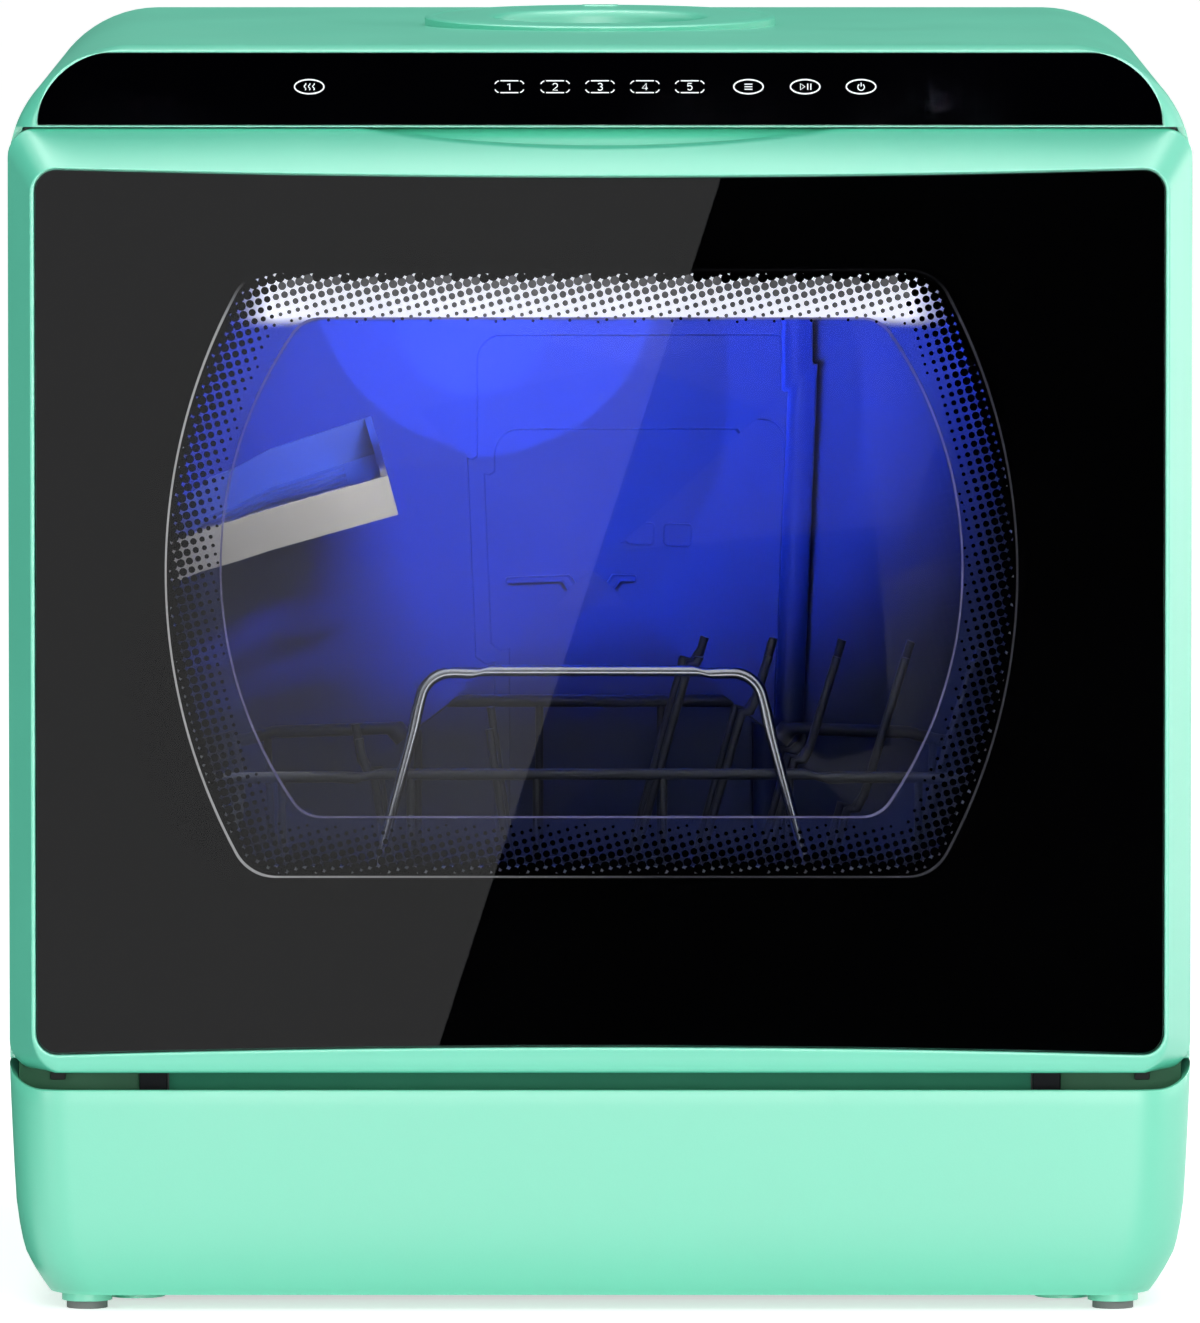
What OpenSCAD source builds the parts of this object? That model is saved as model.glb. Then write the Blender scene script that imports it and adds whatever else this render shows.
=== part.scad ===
// Countertop dishwasher with a drop-down glass door, a built-in water tank,
// a wire rack, a folding cup shelf and two spray arms. Millimetres.
// X is across the front, Y runs from the door to the back, Z is up.
// The origin is on the floor, under the middle of the cabinet.

/* [Cabinet] */
// Width of the cabinet
body_w = 420; // [410:1:440]
// Height of the flat top above the floor
body_h = 449; // [445:1:465]
// Depth from the door glass to the tips of the hose connectors
body_d = 430; // [425:1:450]
// Radius of the casing's two top corners
corner_r = 44; // [34:1:50]
// Thickness of the outer plastic walls
wall = 2.8; // [2.2:0.1:3.4]
// Height of the control console at the top of the front
console_h = 29; // [27:0.5:32]
// How far the console stands in front of the casing
console_d = 8.5; // [7:0.5:9.5]
// Gap between the door and the parts around it
seam = 1; // [0.8:0.1:1.4]

/* [Base] */
// Height of the feet, collar and pad together
foot_h = 5.5; // [4.5:0.1:7]
// Height of the base's front lip above the floor
lip_z = 79; // [77:0.5:81]
// Height of the base's side walls above the floor
base_side_z = 88; // [86:0.5:89]
// Height of the slot between the base's lip and the door
slot_h = 6; // [5.5:0.1:7]
// Radius of the base's front corners, seen from above
base_corner_r = 21; // [16:1:24]
// Radius of a foot's rubber pad
pad_r = 7.3; // [6:0.1:8.2]
// Radius of a foot's collar
collar_r = 9; // [8.6:0.1:10]

/* [Door] */
// Depth of the door's moulded frame
door_t = 28; // [27:0.5:29]
// How far the door's bevel runs back from the glass
bevel_d = 22; // [18:0.5:23]
// Width of the bevel at the door's sides
bevel_side = 8.5; // [7:0.5:10]
// Height of the bevel along the door's top
bevel_top = 11.5; // [9:0.5:13]
// Height of the bevel along the door's bottom
bevel_bottom = 5; // [4:0.5:6.5]
// Thickness of the outer glass
glass_t = 4; // [3:0.1:4]
// How far the glass edge lies inside the frame's front outline
glass_rim = 1.6; // [1.2:0.1:2.5]
// How far the glass's top and bottom edges bow towards its middle
glass_bow = 3; // [1:0.5:4]
// Width of the finger scoop in the door's top edge
scoop_w = 162; // [130:2:180]
// Depth of the finger scoop
scoop_h = 6.2; // [5:0.2:7]
// How far the inner liner reaches into the tub
liner_d = 11; // [9:0.5:11]
// Thickness of the liner and its window bezel
liner_t = 2.4; // [2:0.1:3]
// Opening angle of the door, in degrees, drawn for a preview only
door_angle = 0; // [0:5:90]

/* [Window] */
// Half width of the window's front outline, at mid height
window_half_w = 150.6; // [140:0.5:152]
// Half width of the window's front outline, along its top and bottom
window_end_half_w = 121; // [112:0.5:126]
// Height of the black print above the window
print_top_h = 35.9; // [30:0.1:42]
// Height of the black print below the window
print_bottom_h = 63.4; // [58:0.1:70]
// How far the window and the rack's handle sit to the right of the middle
window_x = -3; // [-4:0.5:4]
// How far the window's bezel tapers in on each side
window_taper = 18.5; // [14:0.5:20]

/* [Tub] */
// Inner width of the tub
tub_w = 358; // [350:1:362]
// Inner depth of the tub, behind the front frame
tub_d = 306; // [298:1:310]
// Height of the tub's floor above the floor
tub_z0 = 98; // [97:0.5:100]
// Height of the space between the tub and the console's underside
tub_head = 17; // [15:0.5:21]
// Thickness of the tub's wall
tub_t = 2; // [1.5:0.1:2.2]

/* [Rack] */
// Gap between the wire rack and each side wall of the tub
rack_side = 19; // [18:0.5:26]
// Depth of the wire rack
rack_d = 255; // [240:1:262]
// Wire thickness of the rack's floor
wire = 3; // [2.5:0.1:3.2]
// Wire thickness of the rim and the handle
rim_wire = 4; // [3.5:0.1:4.4]
// Height of the rack's rim above the floor
rim_z = 186; // [183:1:192]
// Distance between two plate tines
tine_pitch = 24; // [22:0.5:25]
// Width of the rack's handle at its foot
handle_w = 136; // [120:2:150]
// Height of the handle above the rim
handle_h = 37; // [28:1:40]
// How far the rack glides out as the door opens, drawn for a preview only
rack_out = 0; // [0:5:85]

/* [Fits] */
// Gap between soft or sliding pieces of different bodies
rest_gap = 0.3; // [0.2:0.05:0.5]
// Radial clearance of a turning pin in its bore
run_gap = 0.08; // [0.03:0.01:0.1]
// Radius of the door's hinge pins
pin_r = 3; // [2.5:0.1:3.2]

/* [Hidden] */
$fn = 48;
hull_fn = 32;
eps = 0.01;
bend_step = 0.05;
lap = 0.6;

// Faces and lines along Y
half_w = body_w / 2;
y_glass = -body_d / 2;
y_tip = body_d / 2;
connector_l = 19;
rear_t = 3;
y_back = y_tip - connector_l;
y_case_back = y_back - rear_t;
y_door_back = y_glass + door_t;
y_cab = y_door_back + seam;
y_console = y_cab - console_d;
frame_t = 3;
y_tub = y_cab + frame_t;
y_tub_back = y_tub + tub_d;

// Heights
door_z0 = lip_z + slot_h;
console_z0 = body_h - console_h;
door_z1 = console_z0 - seam;
tub_z1 = console_z0 - tub_head;

// The door turns about an axis inside its lower edge
hinge_y = y_glass + 15;
hinge_z = door_z0 + 10;
hinge_x = 159;
sweep_r = norm([hinge_y - y_glass, hinge_z - door_z0]);

// Front lip and trough of the base
y_base = y_glass + 2;
trough_z = lip_z - 5;
trough_t = 2;

// Door outlines
door_front_half = half_w - bevel_side;
door_front_z0 = door_z0 + bevel_bottom;
door_front_z1 = door_z1 - bevel_top;
glass_half = door_front_half - glass_rim;
glass_z0 = door_front_z0 + glass_rim;
glass_z1 = door_front_z1 - glass_rim;
glass_corner = 8;
window_z0 = glass_z0 + print_bottom_h;
window_z1 = glass_z1 - print_top_h;
glass_inset = 0.8;
print_t = 0.3;
y_glass_front = y_glass + glass_inset;
y_glass_back = y_glass_front + glass_t;
y_print_back = y_glass_back + print_t;
ledge_w = 5;
ledge_t = 2;
glass_fit = 0.2;

// Door liner
liner_half = tub_w / 2 - 7;
liner_z0 = tub_z0 + 14;
liner_z1 = tub_z1 - 5;
liner_r = 18;
y_liner = y_door_back + liner_d;
opening_half = tub_w / 2 - 1;
opening_z0 = tub_z0 + 10;
opening_z1 = tub_z1 - 1;
opening_r = 22;
pane_t = 3;
pane_lap = 4;
window_n = 8;

// Rack levels, from the rails up
rail_z = tub_z0 + 29;
rail_w = rack_side - 2;
rail_t = 5;
glide_h = 3;
floor_z = rail_z + rest_gap + glide_h + wire / 2;
y_rack = y_tub + 33;
y_rack_back = y_rack + rack_d;
rack_half = tub_w / 2 - rack_side;
rack_w = 2 * rack_half;

// Spray arms, sump and filter
arm_y = -25;
arm_r = 122;
arm_w = 24;
arm_t = 7;
low_arm_z = tub_z0 + 12;
high_arm_z = tub_z1 - 21;
arm_post_r = 7;
sump_y = 66;
sump_r = 44;
sump_depth = 60;
filter_r = 20;

// Water inlet on the top
inlet_y = 8;
inlet_r = 64;
inlet_rise = 4.5;
inlet_hole_r = 52;
bowl_r = 37;
bowl_depth = 18;
spout_r = 12;
spout_bore = 9;
spout_l = 6;

// Tank, fan and electronics behind the tub
bay_gap = 3;
tank_x0 = -176;
tank_x1 = 92;
tank_z0 = tub_z0 + 32;
tank_z1 = tub_z1 - 8;
y_bay = y_tub_back + tub_t + bay_gap;
y_bay_back = y_case_back;
fan_x = 148;
fan_z = tub_z1 - 85;
fan_r = 34;

// Cup shelf, hinged on the tub's left wall
shelf_tilt = 15;
shelf_l = 95;
shelf_lip = 14;
shelf_t = 2.4;
shelf_y0 = -120;
shelf_y1 = 60;
shelf_pin_r = 2.5;
shelf_x = -tub_w / 2 + shelf_lip + 3;
shelf_z = tub_z1 - 152;

// ---------- shared shapes ----------

// Extrudes a drawing of the X-Z plane from y0 to y1
module along_y(y0, y1) {
  translate([0, y1, 0]) rotate([90, 0, 0]) linear_extrude(y1 - y0) children();
}

// A rectangle with four round corners
module round_rect(x0, x1, z0, z1, r) {
  translate([x0, z0 + r]) square([x1 - x0, z1 - z0 - 2 * r]);
  translate([x0 + r, z0]) square([x1 - x0 - 2 * r, z1 - z0]);
  for (x = [x0 + r, x1 - r], z = [z0 + r, z1 - r]) translate([x, z]) circle(r);
}

// A rectangle with round corners at its top only
module arch(half, z0, z1, r) {
  translate([-half, z0]) square([2 * half, z1 - z0 - r]);
  translate([-half + r, z0]) square([2 * (half - r), z1 - z0]);
  for (side = [-1, 1]) translate([side * (half - r), z1 - r]) circle(r);
}

// The top strip of such an arch, for strips lower than the arch's corners
module arch_strip(half, z0, z1, r) {
  intersection() {
    arch(half, z0 - 2 * r, z1, r);
    translate([-half, z0]) square([2 * half, z1 - z0]);
  }
}

// A rod between two points
module rod(a, b, r) {
  d = b - a;
  l = norm(d);
  translate(a) rotate([0, acos(d[2] / l), atan2(d[1], d[0])]) cylinder(h = l, r = r);
}

// A straight tube along Z
module tube(r, bore, h) {
  difference() {
    cylinder(h = h, r = r);
    translate([0, 0, -1]) cylinder(h = h + 2, r = bore);
  }
}

// A bend of round rod in the X-Y plane; a hair thicker than the rods that run into it
module bend(from, angle, turn, r) {
  rotate(from) rotate_extrude(angle = angle) translate([turn, 0]) circle(r + bend_step);
}

// The same bend stood up in the X-Z plane
module bend_up(from, angle, turn, r) {
  rotate([90, 0, 0]) bend(from, angle, turn, r);
}

// ---------- base ----------

// Levels of the base's outside: height, inset at the sides, inset at the front
base_levels = [[foot_h, 14.2, 5], [foot_h + 3.5, 11.8, 3.6], [foot_h + 8, 9, 2.6],
  [foot_h + 14, 5.8, 1.7], [foot_h + 21, 3.9, 1.1], [foot_h + 34, 2.1, 0.6],
  [foot_h + 65, 0.6, 0.1], [base_side_z - eps, 0, 0]];

// One slice of the base, moved in by gap on every side
module base_slice(level, gap) {
  x = half_w - level[1] - gap;
  y0 = y_base + level[2] + gap;
  y1 = y_case_back - gap;
  r = base_corner_r - gap;
  back_r = 5;
  translate([0, 0, level[0]]) linear_extrude(eps) for (side = [-1, 1]) {
    translate([side * (x - r), y0 + r]) circle(r, $fn = hull_fn);
    translate([side * (x - back_r), y1 - back_r]) circle(back_r, $fn = hull_fn);
  }
}

module base_solid(gap) {
  hull() for (level = base_levels) base_slice(level, gap);
}

module base_shell() {
  ear_r = sweep_r + 1.5;
  color("mediumaquamarine") difference() {
    union() {
      difference() {
        base_solid(0);
        base_solid(wall);
        // the open floor that the bottom plate fills
        bottom_hole(0, -1, foot_h + 9);
      }
      // floor of the trough that the door's edge swings through
      intersection() {
        base_solid(wall / 2);
        translate([-half_w, y_base - 1, trough_z - trough_t])
          cube([body_w, y_tub - y_base + 1, trough_t]);
      }
      intersection() {
        base_solid(wall / 2);
        bottom_ring();
      }
      for (side = [-1, 1]) translate([side * boss_x, boss_y, foot_h - boss_h])
        cylinder(h = boss_h + 2, r = boss_r);
    }
    // room for the door's lower edge
    translate([-half_w - 1, y_base - 1, lip_z])
      cube([body_w + 2, hinge_y - y_base + 1, base_side_z]);
    translate([-half_w - 1, hinge_y, hinge_z]) rotate([0, 90, 0])
      cylinder(h = body_w + 2, r = ear_r);
  }
}

boss_x = 165;
boss_y = y_base + 30;
boss_r = 10;
boss_h = 2.8;
bottom_half = 176;
bottom_y0 = y_base + 42;
bottom_y1 = y_case_back - 24;
bottom_t = 2.5;

module bottom_hole(gap, z0, h) {
  translate([0, 0, z0]) linear_extrude(h)
    round_rect(-bottom_half + gap, bottom_half - gap, bottom_y0 + gap, bottom_y1 - gap, 16);
}

// Flange round the open floor of the base
module bottom_ring() {
  difference() {
    translate([-half_w, y_base, foot_h]) cube([body_w, y_case_back - y_base, bottom_t]);
    bottom_hole(0, foot_h - 1, bottom_t + 2);
  }
}

module bottom_plate() {
  vent_l = 44;
  color("dimgray") difference() {
    bottom_hole(rest_gap / 2, foot_h, bottom_t);
    for (i = [0:5]) translate([60 + i * 14, 60, foot_h - 1]) linear_extrude(bottom_t + 2)
      round_rect(-2.5, 2.5, -vent_l / 2, vent_l / 2, 2);
  }
}

foot_x = 182.5;
foot_y = [y_base + 17, y_case_back - 28];
collar_h = 2.7;

module foot_collars() {
  color("mediumaquamarine") for (x = [-foot_x, foot_x], y = foot_y)
    translate([x, y, foot_h - collar_h]) cylinder(h = collar_h, r = collar_r);
}

module foot_pads() {
  color("gray") for (x = [-foot_x, foot_x], y = foot_y)
    translate([x, y, 0]) cylinder(h = foot_h - collar_h, r = pad_r);
}

// ---------- casing, console and rear ----------

module casing() {
  color("mediumaquamarine") difference() {
    along_y(y_cab, y_case_back) arch(half_w, base_side_z, body_h, corner_r);
    along_y(y_cab - 1, y_case_back + 1)
      arch(half_w - wall, base_side_z - 1, body_h - wall, corner_r - wall);
    translate([0, inlet_y, body_h - wall - 1]) cylinder(h = wall + 2, r = inlet_hole_r);
  }
}

panel_half = half_w - 10.6;
panel_z1 = body_h - 2.7;
panel_z0 = console_z0 + 0.7;
panel_r = 25;
panel_t = 1.6;
panel_fit = 0.15;

// The console's outside: full size at the casing, drawn in round the panel
module console_solid() {
  steps = [[0, 0, 0], [0.35, 1.4, 0.3], [0.65, 4, 0.9], [0.88, 7, 1.5], [1, 9, 2]];
  hull() for (s = steps)
    along_y(y_cab - console_d * s[0] - eps, y_cab - console_d * s[0])
      arch_strip(half_w - s[1], console_z0, body_h - s[2], corner_r - s[1] * 1.5, $fn = 2 * hull_fn);
}

console_rib = 2.2;

module console_front() {
  color("mediumaquamarine") difference() {
    console_solid();
    // pocket for the panel
    along_y(y_console - 1, y_console + panel_t + panel_fit)
      arch_strip(panel_half + panel_fit, panel_z0 - panel_fit, panel_z1 + panel_fit,
        panel_r + panel_fit);
    // hollow back
    along_y(y_console + panel_t + panel_fit + console_rib, y_cab + 1)
      arch_strip(panel_half - 6, console_z0 + console_rib, body_h - 6, panel_r - 8);
  }
}

module control_panel() {
  color("black") along_y(y_console + panel_fit, y_console + panel_fit + panel_t)
    arch_strip(panel_half, panel_z0, panel_z1, panel_r);
}

// Circuit board with its lamps and touch springs, screwed behind the panel
module display_board() {
  board_t = 1.6;
  y_board = y_cab + 2;
  y_rib = y_console + panel_t + panel_fit + console_rib;
  lamp_x = [-32.5, -16.5, -0.5, 15.5, 31.5];
  key_x = [-103, 52, 72, 92];
  mid_z = (panel_z0 + panel_z1) / 2;
  color("darkgreen") {
    along_y(y_board, y_board + board_t)
      translate([-120, console_z0 + 4]) square([240, console_h - 12]);
    for (x = lamp_x) translate([x, y_board, mid_z]) rotate([90, 0, 0]) cylinder(h = 2, r = 1.5);
    for (x = key_x) translate([x, y_board, mid_z]) rotate([90, 0, 0])
      cylinder(h = y_board - y_rib, r = 4);
  }
}

// Mint pocket behind the door's top edge, where fingers reach in
pocket_h = 12.5;
pocket_d = 13;
pocket_t = 2;

module pocket_shape(r_add, y1) {
  along_y(y_cab - 1, y1)
    round_rect(-scoop_w / 2 - r_add, scoop_w / 2 + r_add, console_z0 - pocket_h - r_add,
      console_z0 - 1 + r_add, 5 + r_add);
}

module finger_pocket() {
  color("mediumaquamarine") difference() {
    intersection() {
      pocket_shape(pocket_t, y_cab + pocket_d + pocket_t);
      translate([-half_w, y_cab, 0]) cube([body_w, body_d, console_z0 - pocket_fit]);
    }
    pocket_shape(0, y_cab + pocket_d);
  }
}

pocket_fit = 0.2;

// Frame that closes the gap between tub and casing, behind the door
module front_frame() {
  edge = wall + 0.3;
  side_x = half_w - edge;
  top = console_z0 - pocket_fit;
  color("darkslategray") difference() {
    along_y(y_cab, y_tub) difference() {
      union() {
        intersection() {
          translate([-side_x, base_side_z]) square([2 * side_x, top - base_side_z]);
          arch(side_x, base_side_z - 1, body_h - edge, corner_r - edge);
        }
        translate([-half_w + 14, trough_z]) square([body_w - 28, base_side_z - trough_z + 1]);
      }
      round_rect(-opening_half, opening_half, opening_z0, opening_z1, opening_r);
      // slot for the latch hook
      translate([latch_x - 9, latch_z - 6]) square([18, 12]);
    }
    pocket_shape(pocket_t + pocket_fit, y_tub + 1);
  }
}

// Rubber frame round the tub's mouth, which the door's liner closes on
module door_gasket() {
  lip = 1.8;
  color("black") along_y(y_cab + 0.4, y_tub) difference() {
    round_rect(-opening_half, opening_half, opening_z0, opening_z1, opening_r);
    round_rect(-liner_half - lip, liner_half + lip, liner_z0 - lip, liner_z1 + lip, liner_r + lip);
  }
}

screw_r = 3;
screw_rows = 4;
screw_z0 = base_side_z + 22;
screw_z1 = body_h - corner_r - 25;
rear_screw_at = [for (side = [-1, 1], i = [0:screw_rows - 1])
  [side * (half_w - 12), screw_z0 + i * (screw_z1 - screw_z0) / (screw_rows - 1)]];

module rear_panel() {
  slots = 9;
  color("mediumaquamarine") difference() {
    along_y(y_case_back, y_back) difference() {
      arch(half_w, base_side_z, body_h, corner_r);
      // exhaust slots in front of the fan
      for (i = [0:slots - 1]) translate([fan_x - 28, fan_z - 32 + i * 8]) square([56, 3.5]);
      for (i = [0:5]) translate([-160, 130 + i * 9]) square([60, 3.5]);
      translate([valve_x, valve_z]) circle(valve_body_r);
      translate([drain_x, drain_z]) circle(drain_body_r);
      translate([gland_x, gland_z]) circle(gland_r);
    }
    for (s = rear_screw_at) translate([s[0], y_back - 1.2, s[1]]) rotate([-90, 0, 0])
      cylinder(h = 2, r = screw_r + 0.3);
  }
}

module rear_screws() {
  color("silver") for (s = rear_screw_at) translate([s[0], y_back, s[1]]) rotate([90, 0, 0])
    difference() {
      translate([0, 0, -0.3]) cylinder(h = 1.5, r = screw_r);
      for (turn = [0, 90]) rotate(turn) translate([-1.8, -0.4, -1]) cube([3.6, 0.8, 1.5]);
    }
}

// ---------- connections on the rear panel ----------

valve_x = 118;
valve_z = 118;
valve_r = 13.2;
valve_body_r = 17;
drain_x = 60;
drain_z = 114;
drain_r = 9.5;
drain_body_r = 13;
gland_x = half_w - 40;
gland_z = 118;
gland_r = 9;
gland_bore = 4;

// Solenoid valve with a 3/4 inch threaded nose
module inlet_valve() {
  color("white") {
    translate([valve_x, y_back - rear_t - 8, valve_z]) rotate([-90, 0, 0])
      cylinder(h = 8 + rear_t + 3, r = valve_body_r - 0.1);
    translate([valve_x, y_back + 3, valve_z]) rotate([-90, 0, 0])
      tube(valve_r, valve_r - 3.5, connector_l - 3);
    translate([valve_x - 12, y_back - rear_t - 30, valve_z - 14]) cube([24, 22, 30]);
  }
}

// Hose barb that the drain hose is clamped on
module drain_outlet() {
  barbs = 3;
  color("dimgray") translate([drain_x, y_back - rear_t - 10, drain_z]) rotate([-90, 0, 0]) {
    tube(drain_body_r - 0.1, drain_r - 2.5, 10 + rear_t + 2);
    translate([0, 0, 15]) tube(drain_r, drain_r - 2.5, 10 + rear_t + connector_l - 15);
  }
}

module cord_gland() {
  color("black") translate([gland_x, y_back - rear_t - 4, gland_z]) rotate([-90, 0, 0])
    difference() {
      union() {
        cylinder(h = 4 + rear_t + 6, r = gland_r - 0.1);
        cylinder(h = 4, r = gland_r + 2);
        translate([0, 0, 4 + rear_t]) cylinder(h = 2.5, r = gland_r + 2);
      }
      translate([0, 0, -1]) cylinder(h = 20, r = gland_bore);
    }
}

// ---------- water inlet ----------

module inlet_funnel() {
  top = body_h + inlet_rise;
  color("mediumaquamarine") {
    translate([0, inlet_y, 0]) rotate_extrude() polygon([
      [inlet_r, body_h], [inlet_r, body_h + 1.8], [inlet_r - 2, top - 0.6], [inlet_r - 5, top],
      [inlet_r - 8, top - 0.5], [bowl_r + 6, body_h - 1], [bowl_r, body_h - 3],
      [bowl_r - 4, body_h - bowl_depth + 8], [bowl_r - 10, body_h - bowl_depth + 1],
      [spout_bore, body_h - bowl_depth], [spout_bore, body_h - bowl_depth - spout_l],
      [spout_r, body_h - bowl_depth - spout_l], [spout_r, body_h - bowl_depth - 3],
      [bowl_r - 7, body_h - bowl_depth - 2], [bowl_r - 1, body_h - bowl_depth + 6],
      [bowl_r + 3, body_h - 6], [inlet_hole_r - 0.3, body_h - 4], [inlet_hole_r - 0.3, body_h]]);
    // small tab at the back of the rim
    translate([0, inlet_y + inlet_r - 4.5, top - 1]) linear_extrude(2)
      round_rect(-7, 7, -2.5, 2.5, 2.4);
  }
}

module inlet_strainer() {
  r = bowl_r - 10;
  color("lightgray") translate([0, inlet_y, body_h - bowl_depth + 1]) difference() {
    cylinder(h = 1.6, r = r);
    for (i = [-4:4], j = [-4:4]) if (norm([i, j]) * 5 < r - 4)
      translate([i * 5, j * 5, -1]) cylinder(h = 4, r = 1.6, $fn = 16);
  }
}

// Hose from the bowl's spout, over the tub and down into the tank
hose_r = 6.5;
hose_wall = 1.8;
hose_turn = 12;

// Its outside for shrink 0, its bore for shrink hose_wall
module inlet_hose_path(shrink) {
  r = hose_r - shrink;
  y_neck = (y_bay + y_bay_back) / 2;
  z_run = tub_z1 + tub_t + hose_r + 2;
  translate([0, inlet_y, z_run]) rotate([-90, 0, 0])
    cylinder(h = y_neck - hose_turn - inlet_y + lap, r = r);
  translate([0, y_neck - hose_turn, z_run - hose_turn]) rotate([0, 0, 90])
    bend_up(0, 90, hose_turn, r);
  translate([0, y_neck, tank_z1 - shrink]) cylinder(h = z_run - hose_turn + lap - tank_z1 + shrink,
    r = r);
}

module inlet_hose() {
  z_low = tub_z1 + tub_t + 1;
  cup_h = body_h - bowl_depth - spout_l - z_low;
  color("dimgray") difference() {
    union() {
      translate([0, inlet_y, z_low]) cylinder(h = cup_h, r = spout_r);
      inlet_hose_path(0);
    }
    translate([0, inlet_y, z_low + hose_wall]) cylinder(h = cup_h, r = spout_r - hose_wall);
    inlet_hose_path(hose_wall);
  }
}

// ---------- tub ----------

tub_r = 24;

module tub() {
  half = tub_w / 2;
  color("gainsboro") difference() {
    along_y(y_tub, y_tub_back + tub_t)
      round_rect(-half - tub_t, half + tub_t, tub_z0 - tub_t, tub_z1 + tub_t, tub_r + tub_t);
    along_y(y_tub - 1, y_tub_back) round_rect(-half, half, tub_z0, tub_z1, tub_r);
    translate([0, sump_y, tub_z0 - tub_t - 1]) cylinder(h = tub_t + 2, r = sump_r);
    translate([0, arm_y, tub_z0 - tub_t - 1]) cylinder(h = tub_t + 2, r = manifold_r + 0.1);
    translate([feed_x, feed_y - feed_turn, tub_z0 - tub_t - 1]) linear_extrude(tub_t + 2)
      round_rect(-feed_r - 0.2, feed_r + 0.2, -feed_r, feed_turn + feed_r + 0.2, feed_r);
    translate([float_x, float_y, tub_z0 - tub_t - 1]) cylinder(h = tub_t + 2, r = float_r + 2);
    translate([fan_x, y_tub_back - 1, fan_z]) rotate([-90, 0, 0]) for (i = [0:2])
      translate([-14, -11 + i * 9, 0]) cube([28, 4, tub_t + 2]);
  }
}

// Ledges that carry the rack, one on each side wall
module tub_rails() {
  color("gainsboro") for (side = [-1, 1])
    translate([side * (tub_w / 2 - rail_w / 2), (y_tub + y_tub_back) / 2 + 2, rail_z - rail_t / 2])
      cube([rail_w, tub_d - 16, rail_t], center = true);
}

lamp_half = 46;
lamp_y = y_tub + 22;

module lamp_lens() {
  color("lightskyblue") translate([0, lamp_y, tub_z1 - 4]) linear_extrude(4)
    round_rect(-lamp_half, lamp_half, -6, 6, 5);
}

// ---------- bay behind the tub ----------

module water_tank() {
  t = 2;
  y_neck = (y_bay + y_bay_back) / 2;
  color("aliceblue") difference() {
    translate([tank_x0, y_bay, tank_z0])
      cube([tank_x1 - tank_x0, y_bay_back - y_bay, tank_z1 - tank_z0]);
    translate([tank_x0 + t, y_bay + t, tank_z0 + t])
      cube([tank_x1 - tank_x0 - 2 * t, y_bay_back - y_bay - 2 * t, tank_z1 - tank_z0 - 2 * t]);
    translate([0, y_neck, tank_z1 - t - 1]) cylinder(h = 10, r = hose_r - 2);
  }
}

// Main circuit board with its relays and capacitor, on edge beside the tank
module control_board() {
  x0 = tank_x1 + 12;
  z0 = tank_z0 + 30;
  color("darkgreen") {
    translate([x0, y_bay + 4, z0]) cube([84, 1.6, 110]);
    for (i = [0:2]) translate([x0 + 8 + i * 24, y_bay + 5.6, z0 + 70]) cube([18, 15, 15]);
    translate([x0 + 20, y_bay + 5.6, z0 + 40]) rotate([-90, 0, 0]) cylinder(h = 22, r = 9);
    translate([x0 + 46, y_bay + 5.6, z0 + 16]) cube([26, 12, 32]);
    for (x = [x0 + 4, x0 + 80], z = [z0 + 4, z0 + 106])
      translate([x, y_bay - bay_gap, z]) rotate([-90, 0, 0]) cylinder(h = bay_gap + 4, r = 3);
  }
}

fan_depth = 24;

module fan_housing() {
  y0 = y_case_back - fan_depth;
  color("dimgray") translate([fan_x, y0, fan_z]) rotate([-90, 0, 0]) difference() {
    translate([-fan_r - 4, -fan_r - 4, 0]) cube([2 * fan_r + 8, 2 * fan_r + 8, fan_depth]);
    translate([0, 0, 2]) cylinder(h = fan_depth, r = fan_r);
    difference() {
      translate([0, 0, -1]) cylinder(h = 4, r = fan_r - 6);
      translate([0, 0, -2]) cylinder(h = 6, r = 12);
      for (turn = [0, 60, 120]) rotate(turn) translate([-fan_r, -2, -2]) cube([2 * fan_r, 4, 6]);
    }
    translate([0, 0, -1]) cylinder(h = 4, r = 1.5 + run_gap);
  }
}

module fan_impeller() {
  blades = 7;
  blade_l = fan_r - 9.5;
  color("black") translate([fan_x, y_case_back - fan_depth, fan_z]) rotate([-90, 0, 0]) {
    translate([0, 0, 0.4]) cylinder(h = 4, r = 1.5);
    translate([0, 0, 3]) cylinder(h = 13, r = 10);
    for (i = [0:blades - 1]) rotate(i * 360 / blades) translate([8, 0, 9.5]) rotate([40, 0, 0])
      translate([0, -6, -0.8]) cube([blade_l, 12, 1.6]);
  }
}

module air_duct() {
  y0 = y_tub_back + tub_t;
  y1 = y_case_back - fan_depth;
  color("gray") translate([fan_x, y0, fan_z]) rotate([-90, 0, 0]) difference() {
    translate([-19, -19, 0]) cube([38, 38, y1 - y0]);
    translate([-17, -17, -1]) cube([34, 34, y1 - y0 + 2]);
  }
}

// ---------- sump, filter, pumps ----------

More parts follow.
